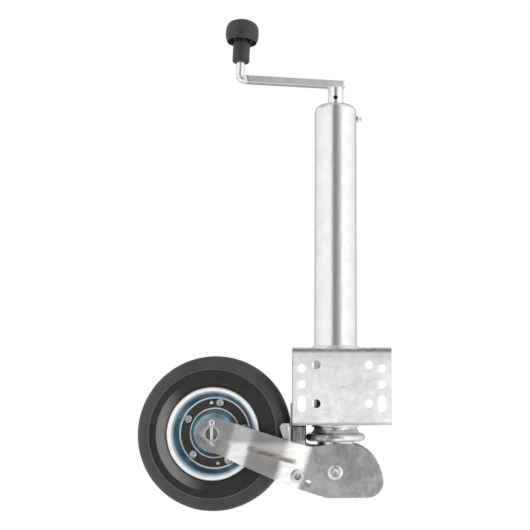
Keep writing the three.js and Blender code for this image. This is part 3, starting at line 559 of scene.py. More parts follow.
def make_materials():
    made = {}
    made["zinc_tube"] = tube_coat()
    made["zinc_sheet"] = bracket_coat()
    made["zinc_small"] = zinc(
        "zinc_small", (0.9, 0.9, 0.88), (0.6, 0.6, 0.59), 0.27, grain=1400, scratches=0.2
    )
    made["bright_steel"] = zinc(
        "bright_steel", (0.92, 0.92, 0.92), (0.72, 0.72, 0.72), 0.36, grain=1800, scratches=0.1
    )

    made["zinc_fork"] = fork_coat()
    made["dark_steel"] = plain("dark_steel", 1, 400, 3, (0.03, 0.03, 0.032), (0.08, 0.08, 0.082), 0.35, 0.55)
    made["pale_plastic"] = plain("pale_plastic", 0, 300, 3, (0.62, 0.6, 0.52), (0.72, 0.7, 0.63), 0.45, 0.6)
    made["bronze"] = plain("bronze", 1, 90, 4, (0.42, 0.29, 0.12), (0.62, 0.46, 0.2), 0.28, 0.45)

    blue = Finish("blue_zinc", metallic=1)
    radius = blue.radius_about(AXLE)
    flat = blue.band(radius, 34, 35, 46.8, 48)
    haze = blue.noise(45, 3, 0.6)
    haze_mix = blue.scaled(haze, 0.35, 0.65)
    channel = blue.blend(haze_mix, (0.09, 0.23, 0.34), (0.17, 0.36, 0.47))
    # Painted shade: the dish inside the channel gets a darker blue.
    dish_in_shade = blue.blend(haze_mix, (0.1, 0.2, 0.27), (0.24, 0.38, 0.44))
    bright = blue.blend(haze_mix, (0.93, 0.95, 0.95), (0.82, 0.88, 0.9))
    tone = blue.blend(blue.scaled(radius, 33, 34), dish_in_shade, channel)
    # Painted highlight: the rounded lip is painted near white.
    lip = blue.scaled(radius, 53.8, 56.4)
    tone = blue.blend(lip, tone, bright)
    # Painted reflection: a brown band on the lip's outer edge, which lies in shade.
    brown_edge_reflection = blue.times(
        blue.scaled(radius, 61.6, 62.8, 0, 0.9), blue.scaled(blue.noise(14), 0.4, 0.6, 0.2, 1)
    )
    tone = blue.blend(brown_edge_reflection, tone, (0.42, 0.3, 0.2))
    shine = 0.72
    # Painted highlights on the two bends, with less metal shine there.
    for ring in BRIGHT_RINGS:
        edge = blue.ring(radius, ring, 0.6, 1.3)
        tone = blue.blend(edge, tone, (0.95, 0.97, 0.98))
        shine = blue.math("SUBTRACT", shine, blue.times(edge, 0.5))
    blue.feed(shine, blue.inputs["Metallic"])
    dull = blue.blend(
        blue.scaled(blue.noise(700, 3, 0.7), 0.35, 0.7), (0.055, 0.05, 0.051), (0.115, 0.105, 0.104)
    )
    flat = blue.times(flat, blue.ring(radius, 41.2, 6.2, 6.8, 1))
    blue.color(blue.blend(flat, tone, dull))
    dulled = blue.math("ADD", blue.times(flat, 0.2), blue.times(lip, 0.1))
    blue.rough(blue.math("ADD", blue.scaled(haze, 0.3, 0.7, 0.3, 0.4), dulled))
    blue.bump(blue.noise(700, 3, 0.7), 0.1, 0.0003)
    made["blue_zinc"] = blue

    rubber = Finish("rubber")
    radius = rubber.radius_about(AXLE)
    dust = rubber.noise(30, 4, 0.65)
    fine = rubber.noise(1500, 2, 0.6)
    cloudy = rubber.scaled(dust, 0.3, 0.7)
    rubber.feed(0.25, rubber.inputs["Specular IOR Level"])
    tread = rubber.blend(cloudy, 0.034, (0.044, 0.044, 0.043))
    wall = rubber.blend(cloudy, 0.012, (0.019, 0.019, 0.018))
    tone = rubber.blend(rubber.scaled(radius, 86, 87.4), wall, tread)
    # Painted sheen: the bead band is lighter towards the lower left and dark on the right, as light falls from the
    # left.
    left_sheen = rubber.scaled(rubber.measure(AXLE, (-0.97, 0, -0.24)), 22, 66)
    bead = rubber.blend(left_sheen, (0.015, 0.0145, 0.014), (0.135, 0.133, 0.128))
    tone = rubber.blend(rubber.scaled(radius, 76.5, 78, 1, 0), tone, bead)
    lines = rubber.scaled(rubber.math("SINE", rubber.times(radius, 5.2)), 0.75, 1)
    fine_rings = rubber.times(lines, 0.35, rubber.scaled(radius, 86, 87, 1, 0))
    tone = rubber.blend(fine_rings, tone, (0.045, 0.044, 0.042))
    edge = rubber.ring(radius, 87.2, 0.3, 0.8, 0.6)
    rubber.color(rubber.blend(edge, tone, 0.11))
    rubber.rough(rubber.scaled(dust, 0.3, 0.7, 0.62, 0.48))
    rubber.bump(fine, 0.15, 0.0003).bump(lines, 0.15, 0.0003)
    made["rubber"] = rubber

    black = Finish("black_plastic")
    pores = black.noise(1300, 2, 0.6)
    wear = black.noise(60, 3, 0.6)
    black.color(black.blend(black.scaled(wear, 0.35, 0.7), (0.014, 0.015, 0.015), (0.026, 0.027, 0.026)))
    black.rough(black.scaled(wear, 0.3, 0.7, 0.4, 0.52))
    black.bump(pores, 0.22, 0.0004)
    made["black_plastic"] = black
    return {name: finish.material for name, finish in made.items()}


# ---- Tube, collar, bracket ----


def make_outer_tube():
    low, high = node_box("outer_tube")
    outer, wall, dome = TUBE_R, 3, 9
    flare = high.x - TUBE_X
    bore = node_box("top_bush")[1].x - TUBE_X - 2.4
    profile = [
        (outer - wall, low.z), (flare - 0.4, low.z), (flare, low.z + 0.5),
        *[(outer + (flare - outer) * (1 - t) ** 2, low.z + 0.5 + 7 * t) for t in (0.25, 0.5, 0.75, 1)],
        *arc(outer - dome, high.z - dome, dome, 0, 90, 16),
        (bore + 0.4, high.z), (bore, high.z - 0.4), (bore, high.z - 5),
        *arc(outer - wall - 6, high.z - 11, 6, 90, 0, 6),
    ]
    turned_piece("tube", profile, AXIS, 144, "zinc_tube", "outer", "outer_tube", Z_UP)

    low, high = node_box("stop_collar")
    ring = (high.z - low.z) / 2
    inner = 25.6
    profile = [
        (inner, low.z + 0.3), (inner + 0.3, low.z),
        *arc(high.x - TUBE_X - ring, low.z + ring, ring, -90, 90, 20),
        (inner + 0.3, high.z), (inner, high.z - 0.3),
    ]
    turned_piece("collar", profile, AXIS, 128, "zinc_tube", "outer", "stop_collar", Z_UP)


BEND_R = 8
SHEET_THICK = 5
HOLE_R = 6
HOLES = ((36, 29, 1), (36, -23.7, 1), (55, 24, 0), (55, 2.5, 0))  # X on each side, Z, shift to +X
SLOT = (55, -23.7, 23)  # X on each side, Z, length


def make_bracket():
    """Channel of bent sheet: u runs along X and v round its section, from the middle of the face."""
    low, high = BRACKET_LOW, BRACKET_HIGH
    half = (high.z - low.z) / 2
    face = half - BEND_R
    bend = BEND_R * math.pi / 2
    depth = high.y - low.y - BEND_R

    def place(u, v, side):
        reach = abs(v) - face
        up = 1 if v >= 0 else -1
        inset = side * SHEET_THICK
        if reach <= 0:
            return Vector((u, low.y + inset, v))
        if reach < bend:
            angle = reach / BEND_R
            radius = BEND_R - inset
            y = low.y + BEND_R - radius * math.cos(angle)
            return Vector((u, y, up * (face + radius * math.sin(angle))))
        return Vector((u, low.y + BEND_R + reach - bend, up * (half - inset)))

    end = face + bend + depth
    wide = high.x
    outline = rounded([(-wide, -end), (wide, -end), (wide, end), (-wide, end)], 2)
    bends = [face + bend * k / 8 for k in range(9)]
    heights = sorted([-b for b in bends] + bends)
    half_way = len(outline) // 2
    outline = [
        *outline[:half_way], *[(wide, v) for v in heights],
        *outline[half_way:], *[(-wide, v) for v in heights[::-1]],
    ]
    x, z, length = SLOT
    reach = length / 2 - HOLE_R
    passage = face + bend + TUBE_Y - low.y - BEND_R
    holes = []
    for side in (-1, 1):
        holes += [circle(side * hole_x + shift, hole_z, HOLE_R, 40) for hole_x, hole_z, shift in HOLES]
        upper = arc(side * x, z + reach, HOLE_R, 0, 180, 20)
        holes.append(upper + arc(side * x, z - reach, HOLE_R, 180, 360, 20))
        holes.append(circle(TUBE_X, side * passage, TUBE_R + 0.3, 72))
    bracket = sheet(outline, holes, place, (6, 4))
    add_piece("bracket", *bracket, "zinc_sheet", "outer", ["mount_bracket"], bevel=0.7)


WELD_SIZE = 2.9


def make_weld(name, base, side, seed):
    """Bead round the tube, with the ripples of a hand-held weld."""
    count, steps = 220, 8
    vertices = []
    for i in range(count):
        a = 2 * math.pi * i / count
        ripple = 0.22 * math.sin(a * 62 + 0.6 * math.sin(5 * a + seed))
        lump = noise.noise(Vector((math.cos(a) * 2, math.sin(a) * 2, seed)))
        size = WELD_SIZE + ripple + 0.4 * lump
        out = Vector((math.cos(a), math.sin(a), 0))
        for k in range(steps):
            t = (math.pi / 2) * k / (steps - 1)
            radius = TUBE_R + 0.25 + size * math.cos(t) ** 0.8 * 0.98
            height = size * math.sin(t) ** 0.8
            vertices.append(AXIS + out * radius + Vector((0, 0, base + side * height)))
        vertices.append(AXIS + out * (TUBE_R + 0.2) + Vector((0, 0, base)))
    faces = skin(count, steps + 1, loop=True)
    add_piece(f"{name}_bead", vertices, faces, "zinc_tube", "outer", [name])


def make_grease_nipple():
    low, high = node_box("grease_nipple")
    seat = Vector((TUBE_X + TUBE_R + 0.2, TUBE_Y, (low.z + high.z) / 2))
    turn = Matrix(((0, 0, 1), (0, 1, 0), (-1, 0, 0)))
    hexagon = [(0, 0), (4.5, 0), (5.2, 0.5), (5.2, 2.6), (4.5, 3.1), (0, 3.1)]
    tip = [
        (0, 3), (2.6, 3), (2.4, 4.2), (2.1, 5.4), (2.4, 5.9), (3.1, 6.5), (3.25, 7.2), (2.9, 8),
        (1.8, 8.6), (0.9, 8.8), (0.7, 8.3), (0, 8.3),
    ]
    stem = [(0, -4.2), (2.6, -4.2), (2.6, 0.1), (0, 0.1)]
    parts = [turned(profile, seat, turn, count) for profile, count in ((hexagon, 6), (tip, 32), (stem, 24))]
    add_piece("nipple", *merged(*parts), "bright_steel", "outer", ["grease_nipple"])


# ---- Crank and knob ----


def bore_through(piece, centre, radius, reach, segments):
    """Bores a hole along Y through a piece."""
    profile = [(0, -reach), (radius, -reach), (radius, reach), (0, reach)]
    cutter = closed_body("cutter", *turned(profile, centre, Y_BACK, segments))
    bpy.context.view_layer.update()
    modifier = piece.modifiers.new("cut", "BOOLEAN")
    modifier.operation = "DIFFERENCE"
    modifier.solver = "EXACT"
    modifier.object = cutter
    mesh = bpy.data.meshes.new_from_object(piece.evaluated_get(bpy.context.evaluated_depsgraph_get()))
    piece.modifiers.clear()
    piece.data = mesh
    bpy.data.objects.remove(cutter)
    work = bmesh.new()
    work.from_mesh(mesh)
    shade(work)
    work.to_mesh(mesh)
    work.free()


def make_hub():
    low, high = node_box("crank_hub")
    radius = high.x - TUBE_X
    bore = 8.15
    profile = [
        (bore, low.z), (radius - 0.8, low.z), *arc(radius - 0.8, low.z + 0.8, 0.8, -90, 0, 5),
        (radius, high.z), (bore, high.z),
    ]
    hub = turned_piece("hub", profile, AXIS, 96, "zinc_tube", "crank", "crank_hub", Z_UP)
    low, high = node_box("roll_pin")
    centre = AXIS + Vector((0, 0, (low.z + high.z) / 2))
    bore_through(hub, centre, 3.1, 20, 32)
    half = (high.y - low.y) / 2
    ring = [(2, -half), (2.6, -half), (3, -half + 0.5), (3, half - 0.5), (2.6, half), (2, half)]
    turned_piece("pin", ring, centre, 32, "dark_steel", "crank", "roll_pin")


def section(half_width, half_height, power, count):
    """Closed section between an oval and a box, as it gets more square."""
    points = []
    for i in range(count):
        a = 2 * math.pi * i / count
        c, s = math.cos(a), math.sin(a)
        size = (abs(c) ** power + abs(s) ** power) ** (-1 / power)
        points.append((half_width * size * c, half_height * size * s))
    return points


MITRE = 2  # length over which the arm turns from a flat bar to a round rod
OVERHANG = 13.3
ELBOW = 7.5
ROD_R = 6.1
BAR = (7.5, 5, 10)  # half width, half height and squareness of the arm's section
ROD = (ROD_R, ROD_R, 2)


def make_crank():
    along = Vector((KNOB.x - CRANK.x, KNOB.y - CRANK.y, 0)).normalized()
    across = Vector((0, 0, 1)).cross(along)
    up = KNOB_AXIS
    wide, thick, square = BAR
    straight = (KNOB - CRANK).to_2d().length - ELBOW
    start, end = CRANK + along * straight, KNOB + up * ELBOW

    stations = []  # place, direction, section
    for inset, grow in ((0, 0.86), (0.35, 0.96), (0.9, 1)):
        stations.append((CRANK + along * (inset - OVERHANG), along, (wide * grow, thick * grow, square)))
    for i in range(1, 40):
        t = -OVERHANG + 0.9 + (straight - MITRE + OVERHANG - 0.9) * i / 39
        sag = 0.12 * noise.noise(Vector((t / 17, 0, 0)))
        stations.append((CRANK + along * t, along, (wide + sag, thick - sag * 0.4, square)))
    for i in range(1, 9):
        f = smooth_step(0, 1, i / 8)
        t = straight - MITRE + (MITRE + 1) * i / 8
        stations.append((CRANK + along * t, along, [a + (b - a) * f for a, b in zip(BAR, ROD)]))
    for i in range(1, 15):
        t = i / 15
        direction = ((KNOB - start) * (1 - t) + (end - KNOB) * t).normalized()
        bulge = 0.35 * math.sin(math.pi * t)
        stations.append((bezier(start, KNOB, end, t), direction, (ROD_R + bulge, ROD_R - bulge * 0.5, 2)))
    length = (node_box("crank_arm")[1].z - 0.2 - end.z) / up.z
    for i in range(13):
        stations.append((end + up * (length * i / 12), up, ROD))
    stations.append((end + up * (length + 0.15), up, (ROD_R - 0.5, ROD_R - 0.5, 2)))

    vertices = []
    count = 40
    for place, direction, size in stations:
        binormal = direction.cross(across).normalized()
        mitre = 0.32 * math.exp(-((place - start).length / 7) ** 2) if direction.z < 0.2 else 0
        for w, h in section(*size, count):
            vertices.append(place + across * w + (binormal + direction * mitre) * h)
    add_piece("arm", vertices, skin(len(stations), count), "zinc_tube", "crank", ["crank_arm"])

    # Weld between the hub and the arm
    high = node_box("crank_hub")[1]
    beads = []
    for i in range(28):
        a = math.pi * (-0.04 + 1.08 * i / 27) + math.pi
        wobble = 0.35 * noise.noise(Vector((i * 0.7, 3, 0)))
        out = Vector((math.cos(a), math.sin(a), 0)) * (high.x - TUBE_X - 0.5)
        spot = AXIS + out + Vector((0, 0, high.z + 0.1 + wobble))
        lump = [(abs(r * (1.3 + 0.3 * wobble)), h * 1.1) for r, h in arc(0, 0, 1, -90, 90, 6)]
        beads.append(turned(lump, spot, Z_UP, 10, closed=False))
    add_piece("hub_weld", *merged(*beads), "zinc_tube", "crank")


def make_knob():
    up = KNOB_AXIS
    side = Vector((0, 1, 0)).cross(up).normalized()
    turn = Matrix((side, up.cross(side), up)).transposed()
    neck, wide, bore = 12.2, 23.7, 6.35
    bottom, rim, widest, top = 25, 55, 66, 86.5
    recess = rim + 11
    crown = [
        (wide * math.cos(a) ** 0.625, widest + (top - widest) * math.sin(a) ** 0.625)
        for a in [math.pi / 2 * k / 22 for k in range(22)]
    ]
    profile = [
        (bore, bottom), (neck - 2.2, bottom), (neck - 1.2, bottom + 0.35), (neck - 0.4, bottom + 1.2),
        (neck - 0.05, bottom + 2.6), (neck, bottom + 5), (neck, recess - 1.2), (neck + 1.2, recess),
        (wide - 4.2, recess), (wide - 2.4, recess - 1.6), (wide - 3.6, rim + 0.5), (wide - 3.4, rim),
        (wide - 2.8, rim), (wide - 2.5, rim + 0.4), (wide - 1, rim + 4.5), (wide - 0.25, rim + 8),
        *crown,
        (1.5, top), (0, top), (0, top - 6), (bore + 4, top - 6), (bore + 4, top - 16), (bore, top - 16),
    ]
    parts = [turned(profile, KNOB, turn, 112)]
    rib = (
        (neck - 1, rim - 5, 0.7), (wide - 3.6, rim + 0.8, 0.7),
        (wide - 2.2, recess + 1, 0.9), (neck - 1, recess + 1, 0.9),
    )  # radius, height and half width of each corner
    loops = [[0, 2, 4, 6], [1, 7, 5, 3], [0, 1, 3, 2], [2, 3, 5, 4], [4, 5, 7, 6], [6, 7, 1, 0]]
    for i in range(8):
        a = 2 * math.pi * i / 8 - math.radians(75)
        out = Vector((math.cos(a), math.sin(a), 0))
        cross = Vector((-math.sin(a), math.cos(a), 0))
        corners = []
        for r, h, w in rib:
            for s in (-1, 1):
                corners.append(KNOB + turn @ (out * r + cross * (w * s) + Vector((0, 0, h))))
        parts.append((corners, loops))
    add_piece("knob", *merged(*parts), "black_plastic", "knob", ["crank_knob"])


# ---- Fork ----


def on_fork(along, across):
    place = FORK_U * along + FORK_V * across
    return (place.x, place.z)


def along_fork(loop):
    """An outline in X and Z, turned to run along and across the arm."""
    return [(FORK_U.x * x + FORK_U.z * z, FORK_V.x * x + FORK_V.z * z) for x, z in loop]


def bend_at(along):
    for (a0, y0), (a1, y1) in zip(BENDS, BENDS[1:]):
        if along <= a1:
            return y0 + (y1 - y0) * (along - a0) / (a1 - a0)
    return BENDS[-1][1]


def fork_offset(along):
    """Distance of a plate's inner face from the middle, with rounded bends, and its slope."""
    steps = 8
    samples = [bend_at(along + BEND_SOFTNESS * (k / steps)) for k in range(-steps, steps + 1)]
    return sum(samples) / len(samples), (samples[-1] - samples[0]) / (2 * BEND_SOFTNESS)


def fork_point(x, z, side, offset):
    return Vector((PIVOT.x + x, PIVOT.y + side * offset, PIVOT.z + z))


def divided(loop, step):
    """Closed outline with long edges divided."""
    result = []
    for (ax, ay), (bx, by) in sides(loop):
        length = math.hypot(bx - ax, by - ay)
        if length >= 0.05:
            pieces = max(1, int(length / step))
            result += [(ax + (bx - ax) * k / pieces, ay + (by - ay) * k / pieces) for k in range(pieces)]
    return result


CROSS_ALONG = 48
CROSS_ACROSS = -20


def make_fork_plates():
    turn = math.degrees(FORK_TURN)
    outline = [
        *arc(TO_AXLE.x, TO_AXLE.z, ARM_HALF, turn - 90, turn + 86, 40),
        on_fork(42, -36), *arc(-9, -14.3, 20, 246, 270, 10), *arc(43.3, -11.8, 22, 270, 366, 24),
        *arc(14, -12, 50.5, 11, 74, 22), (20, 38), (2, 38), (-14, 36.2), (-24, 34.6), (-35, 34.4),
        on_fork(46, ARM_HALF),
    ]
    # For the pivot, the axle and the cross tube, and one left open
    holes = [
        circle(0, 0, 8.15, 48), circle(TO_AXLE.x, TO_AXLE.z, 10.95, 56),
        circle(*on_fork(CROSS_ALONG, CROSS_ACROSS), 7.3, 40), circle(-37.4, -15.1, 5, 36),
    ]
    outline, *holes = [along_fork(loop) for loop in (divided(outline, 4), *holes)]

    def crease(along, across):
        """Shallow crease pressed along the arm: a slope above it and a small step under it."""
        run = smooth_step(50, 62, along) * smooth_step(134, 122, along)
        return 0.9 * run * smooth_step(17, -4, across) * smooth_step(-7.5, -4.5, across)

    for name, side in (("fork_plate_front", -1), ("fork_plate_rear", 1)):

        def place(along, across, face):
            offset, slope = fork_offset(along)
            thick = FORK_SHEET * math.hypot(1, slope) * face
            bulge = 0.6 * crease(along, across) * face
            return fork_point(*on_fork(along, across), side, offset + thick + bulge)

        plate = sheet(outline, holes, place, (2, 5))
        add_piece(f"{name}_sheet", *plate, "zinc_fork", "fork", [name], bevel=0.5)


def make_fork_bridge():
    """Two crowned cheeks inside the arms, and a web that runs up beside the bracket."""
    left, right, top, low = -76, -41.5, 61, 24
    web_x = -61.6
    raised = top + 5
    corners = [
        (left, raised - 4), (left + 4, raised), (web_x - 1, raised), (web_x - 1, top),
        (right, top), (right, low), (left + 12, low),
    ]
    cheek = divided(rounded(corners, 1.5), 3)
    parts = []
    for side in (-1, 1):

        def place(x, z, face):
            offset, slope = fork_offset(FORK_U.x * x + FORK_U.z * z)
            fall = max(0, web_x - x) * 0.24 + 12 * smooth_step(web_x, web_x + 2.4, x)
            return fork_point(x, z, side, offset - (3.3 - 3 * face) * math.hypot(1, slope) - fall)

        parts.append(sheet(cheek, [], place, (2, 3)))
    web = [
        (-34.6, low), (34.6, low), (35.4, top - 8), (35.2, top + 8),
        *arc(26, top + 24, 8, 0, 90, 12), *arc(-26, top + 24, 8, 90, 180, 12),
        (-35.2, top + 8), (-35.4, top - 8),
    ]

    def upright(y, z, face):
        return PIVOT + Vector((web_x + 1.6 * face, y, z))

    parts.append(sheet(divided(web, 5), [], upright, (6, 6)))
    add_piece("bridge", *merged(*parts), "zinc_fork", "fork", ["fork_bridge"], bevel=0.35)


def make_pivot():
    low, high = node_box("pivot_pin")
    front, back = PIVOT.y - low.y, high.y - PIVOT.y
    head_r = high.x - PIVOT.x
    out = front - 4.4
    profile = [
        (0, -front + 0.5), (3.1, -front + 0.42), (4.4, -front), (6.6, -front + 0.05), (8.3, -front + 0.45),
        (9.7, -front + 1.3), (head_r - 0.15, -front + 2.3), (head_r, -front + 3.2),
        (head_r - 0.1, -out - 0.2), (head_r - 0.4, -out), (8, -out), (8, back - 8.8), (7.1, back - 8.8),
        (7.1, back - 5.2), (8, back - 5.2), (8, back - 1), (7, back), (0, back),
    ]
    vertices, faces = turned(profile, PIVOT, segments=72)
    for point in vertices:
        away = point - PIVOT
        if away.y < -out - 0.3 and math.hypot(away.x, away.z) < head_r - 0.2:
            point.y += 0.35 * noise.noise(Vector((away.x, away.z, 5)) * 0.35)
    add_piece("pin_pivot", vertices, faces, "zinc_small", "fork", ["pivot_pin"])

    low, high = node_box("pivot_washer")
    near, far = low.y - PIVOT.y, high.y - PIVOT.y
    profile = [(8.3, near), (13.6, near), (14, near + 0.4), (14, far - 0.4), (13.6, far), (8.3, far)]
    turned_piece("washer_pivot", profile, PIVOT, 72, "zinc_small", "fork", "pivot_washer")


def make_cross_tube():
    """Hollow rivet across the arms, rolled over against each slope."""
    x, z = on_fork(CROSS_ALONG, CROSS_ACROSS)
    centre = PIVOT + Vector((x, 0, z))
    offset, slope = fork_offset(CROSS_ALONG)
    face = offset + FORK_SHEET * math.hypot(1, slope)
    bar = face + 0.2
    parts = [turned([(3.9, -bar), (7, -bar), (7, bar), (3.9, bar)], centre, segments=48)]
    rolled = [
        (3.9, -0.6), (6.8, -0.6), (6.9, 0.3), (9, 0.3), (9.4, 0.9), (9.1, 1.7), (7.8, 2.4), (6.2, 2.6),
        (4.8, 2.2), (4.1, 1.2),
    ]
    for side in (-1, 1):
        normal = Vector((-FORK_U.x * slope, side, -FORK_U.z * slope)).normalized()
        run = (FORK_U + Vector((0, side * slope, 0))).normalized()
        turn = Matrix((run, normal.cross(run), normal)).transposed()
        parts.append(turned(rolled, centre + Vector((0, side * face, 0)), turn, 56))
    add_piece("rivet_tube", *merged(*parts), "zinc_small", "fork", ["cross_tube"])


def make_axle():
    low, high = node_box("axle_tube")
    radius = high.x - AXLE.x
    half = (high.y - low.y) / 2
    bore = 8.4
    web_low, web_high = 25, 29
    profile = [
        (0, web_low), (bore, web_low), (bore, -half + 0.4), (bore + 0.4, -half), (radius - 0.6, -half),
        (radius, -half + 0.6), (radius, half - 0.6), (radius - 0.6, half), (bore + 0.4, half),
        (bore, half - 0.4), (bore, web_high), (0, web_high),
    ]
    turned_piece("axle", profile, AXLE, 80, "zinc_small", "fork", "axle_tube")

    for name in ("front", "rear"):
        low, high = node_box(f"axle_washer_{name}")
        reach = (high.x - low.x) / 2
        diamond = rounded([(reach, 0), (0, reach), (-reach, 0), (0, -reach)], 2.5)

        def place(x, z, face):
            return Vector((AXLE.x + x, low.y + (high.y - low.y) * face, AXLE.z + z))

        plate = sheet(divided(diamond, 3), [circle(0, 0, 11.1, 56)], place, (3, 3))
        add_piece(f"washer_{name}", *plate, "zinc_small", "fork", [f"axle_washer_{name}"], bevel=0.4)
        make_split_pin(name)


def make_split_pin(name):
    """Round wire folded into an eye and two legs, one of them bent over."""
    low, high = node_box(f"split_pin_{name}")
    wire, eye = 1.05, 3
    top = high.z - AXLE.z - eye - wire
    turns = [math.radians(-58 + 296 * k / 26) for k in range(27)]
    line = [(5.6, -16), (2.6, -14.8), (wire, -12.5), (wire, 0), (wire, 8.6)]
    line += [(eye * math.cos(t), top + eye * math.sin(t)) for t in turns]
    line += [(-wire, 8.6), (-wire, 0), (-wire, -14.8)]
    line = [Vector((AXLE.x + x, (low.y + high.y) / 2, AXLE.z + z)) for x, z in line]
    pin = swept(line, wire, 10)
    add_piece(f"cotter_{name}", *pin, "bright_steel", "fork", [f"split_pin_{name}"])


def swept(line, radius, count):
    """Round wire along a line of points that lies square to Y."""
    vertices = []
    normal = Vector((0, 1, 0))
    for i, point in enumerate(line):
        direction = (line[min(i + 1, len(line) - 1)] - line[max(i - 1, 0)]).normalized()
        binormal = direction.cross(normal).normalized()
        for k in range(count):
            a = 2 * math.pi * k / count
            vertices.append(point + (normal * math.cos(a) + binormal * math.sin(a)) * radius)
    return vertices, skin(len(line), count)


# ---- Wheel ----


def offset_line(points, distance):
    """Line beside an open line, on its left."""
    result = []
    for i, point in enumerate(points):
        before = Vector(points[max(i - 1, 0)])
        after = Vector(points[min(i + 1, len(points) - 1)])
        run = (after - before).normalized()
        result.append((point[0] - run.y * distance, point[1] + run.x * distance))
    return result


LIP_R = 64.2
RIM_FACE = [
    (LIP_R, -24), (LIP_R - 0.9, -27.2), (LIP_R - 3.3, -28.8), (LIP_R - 6.3, -27.8), (LIP_R - 8.4, -24),
    (49.6, -4.4), (47.4, -2.35), (35.2, -2.35), (33, -4.4), (27.5, -16), (18.4, -20),
]
RIM_SHEET = 2.2


def make_rims():
    face = softened(RIM_FACE, 1.6, 5)
    back = offset_line(face, -RIM_SHEET)
    for name, side in (("rim_front", 1), ("rim_rear", -1)):
        profile = [(r, side * h) for r, h in face + back[::-1]]
        turned_piece(f"{name}_pressing", profile, AXLE, 160, "blue_zinc", "wheel", name)


def make_rim_fasteners():
    for i in range(1, 6):
        low, high = node_box(f"rim_bolt_{i}")
        centre = Vector(((low.x + high.x) / 2, AXLE.y, (low.z + high.z) / 2))
        front, back = low.y - AXLE.y, high.y - AXLE.y
        cap = [
            (0, 0.1), (1.9, 0.2), (2.5, 0.7), (2.8, 1.5), (3.1, 1.2), (3.6, 0.5), (4.3, 0.4), (5, 0.9),
            (5.4, 2), (5.4, 4), (0, 4),
        ]
        head = turned([(r, front + h) for r, h in cap], centre, segments=40)
        shank = [(0, front + 3), (2.9, front + 3), (2.9, back - 0.6), (2.4, back), (0, back)]
        bolt = merged(head, turned(shank, centre, segments=24))
        add_piece(f"bolt_{i}", *bolt, "zinc_small", "wheel", [f"rim_bolt_{i}"])
    for i in (1, 2):
        low, high = node_box(f"rim_rivet_{i}")
        centre = Vector(((low.x + high.x) / 2, AXLE.y, (low.z + high.z) / 2))
        half = (high.y - low.y) / 2
        reach = (high.x - low.x) / 2
        angles = [math.pi / 2 * k / 6 for k in range(6)]
        dome = [(reach * math.cos(a), half - 1.3 + 1.3 * math.sin(a)) for a in angles]
        under = [(r, -h) for r, h in dome[::-1]]
        profile = [(0, -half), *under, (2, -half + 1.4), (2, half - 1.4), *dome, (0, half)]
        turned_piece(f"rivet_{i}", profile, centre, 28, "bright_steel", "wheel", f"rim_rivet_{i}")


def make_tyre():
    low, high = node_box("tyre")
    outer = high.x - AXLE.x
    wall = (high.y - low.y) / 2
    side = [
        (53.6, 0), (54.2, -5.5), (LIP_R - 4.2, -21.5), (LIP_R + 0.4, -22.4), (LIP_R + 0.5, -26.2),
        (LIP_R + 2.4, -27.4), (76.8, -wall + 2), (77.8, -wall + 2.9), (79.4, -wall + 3.2),
        (86.2, -wall + 2.4), (86.9, -wall + 0.6), (87.6, -wall + 0.1), (91, -wall + 0.8),
        (94.6, -wall + 2.6), (98.6, -wall + 5.6), (outer - 3.6, -wall + 10.5), (outer - 1.4, -15.6),
        (outer - 0.3, -9), (outer, -3),
    ]
    half = softened(side, 1.2, 3)
    profile = half + [(r, -h) for r, h in half[1:][::-1]]
    turned_piece("tyre_moulding", profile, AXLE, 192, "rubber", "wheel", "tyre")


def make_inner_tube():
    low, high = node_box("inner_tube")
    outer, inner = 25, 22
    profile = [
        (inner, low.z + 0.4), (inner + 0.4, low.z), (outer - 0.4, low.z), (outer, low.z + 0.4),
        (outer, high.z), (inner, high.z),
    ]
    tube = turned_piece("inner", profile, AXIS, 120, "zinc_tube", "inner", "inner_tube", Z_UP)
    bore_through(tube, PIVOT, 13.3, 40, 56)


# ---- Scene ----

FOCAL_PX = 980
EYE = Vector((-0.0026, -1.3468, -0.0052))
PITCH = math.atan2(125, FOCAL_PX)
CENTRE_PX = 75  # the optical axis lies this far right of the picture's middle
FLOOR_Z = -0.64  # under the wheel when it is wound down
# Levels of the studio: by azimuth in degrees, 0 behind the camera, and by height
AROUND = (
    (-180, 0.45), (-150, 0.5), (-125, 0.95), (-42, 1.1), (-21, 1), (-13, 0.25), (5, 0.28), (24, 0.6),
    (40, 1.25), (125, 1), (150, 0.5), (180, 0.45),
)
ABOVE = (
    (-90, 0.4), (-50, 0.4), (-12, 0.8), (-2, 1), (28, 1), (50, 0.75), (80, 0.8), (90, 0.85),
)


def make_camera():
    data = bpy.data.cameras.new("camera")
    data.sensor_width = 36
    data.lens = FOCAL_PX * data.sensor_width / IMAGE_SIZE
    data.shift_x = -CENTRE_PX / IMAGE_SIZE
    camera = linked("camera", data)
    camera.location = EYE
    camera.rotation_euler = (math.pi / 2 + PITCH, 0, 0)
    bpy.context.scene.camera = camera


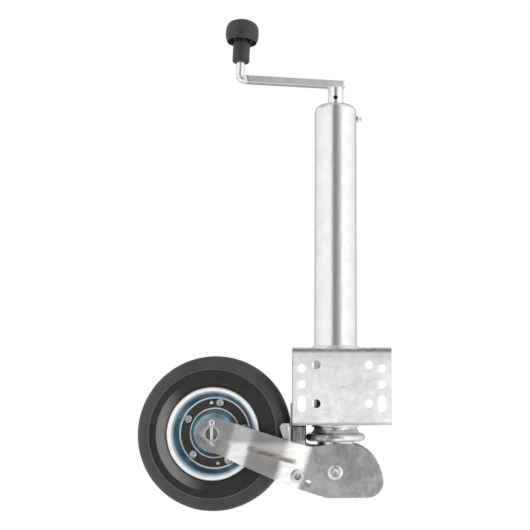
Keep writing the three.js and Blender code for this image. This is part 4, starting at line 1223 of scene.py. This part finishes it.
def make_world():
    """White studio with a dim gap behind the camera, which bright tube and sheet reflect."""
    world = bpy.data.worlds.new("studio")
    bpy.context.scene.world = world
    world.use_nodes = True
    graph = Graph(world.node_tree)
    place = graph.new("TexCoord").outputs["Generated"]
    x, y, z = graph.new("SeparateXYZ", Vector=place).outputs

    def ramp(angle, whole, stops):
        share = graph.math("ADD", graph.math("DIVIDE", angle, math.radians(whole)), 0.5)
        node = graph.new("ValToRGB", Fac=share)
        node.color_ramp.interpolation = "EASE"
        elements = node.color_ramp.elements
        while len(elements) < len(stops):
            elements.new(0.5)
        for element, (degrees, level) in zip(elements, stops):
            element.position = 0.5 + degrees / whole
            element.color = (level, level, level, 1)
        return node.outputs[0]

    around = ramp(graph.math("ARCTAN2", x, graph.times(y, -1)), 360, AROUND)
    above = ramp(graph.math("ARCSINE", z), 180, ABOVE)
    seen = graph.new("LightPath").outputs["Is Camera Ray"]
    background = graph.nodes["Background"].inputs
    graph.feed(graph.mix("FLOAT", seen, graph.times(around, above), 1), background["Strength"])
    graph.feed(1, background["Color"])


def make_light(name, place, power):
    data = bpy.data.lights.new(name, "AREA")
    data.shape = "RECTANGLE"
    data.size, data.size_y = 1.2, 2
    data.energy = power
    light = linked(name, data)
    light.location = place
    light.rotation_euler = (Vector((0, 0, 0.1)) - Vector(place)).to_track_quat("-Z", "Y").to_euler()
    light.visible_camera = False
    light.visible_glossy = False


def make_floor():
    work = bmesh.new()
    bmesh.ops.create_circle(work, cap_ends=True, radius=2.4, segments=128)
    mesh = bpy.data.meshes.new("floor")
    work.to_mesh(mesh)
    work.free()
    floor = linked("floor", mesh)
    floor.location = (0, 0, FLOOR_Z)
    paint = Finish("floor_paint", roughness=0.7)
    paint.color(paint.blend(paint.noise(12, 2, 0.5), 0.86, 0.88))
    mesh.materials.append(paint.material)


def dress_frame():
    """Gives each CAD node that is still shown its finish."""
    slots = {entry["node"]: entry["material_slot"] for entry in frame["record"]["subparts"]}
    for name, piece in frame["nodes"].items():
        piece.data.materials.clear()
        piece.data.materials.append(FINISHES[slots[name]])


make_camera()
make_world()
make_light("left_box", (-1.7, -1.1, 0.5), 26)
make_light("right_box", (1.6, -0.9, 0.6), 30)
make_floor()

FINISHES = make_materials()
dress_frame()
make_outer_tube()
make_bracket()
make_weld("upper_weld", BRACKET_HIGH.z + 0.3, 1, 1.7)
make_weld("lower_weld", BRACKET_LOW.z - 0.3, -1, 4.2)
make_grease_nipple()
make_hub()
make_crank()
make_knob()
make_inner_tube()
make_fork_plates()
make_fork_bridge()
make_pivot()
make_cross_tube()
make_axle()
make_rims()
make_rim_fasteners()
make_tyre()

bpy.context.scene.view_settings.view_transform = "Standard"
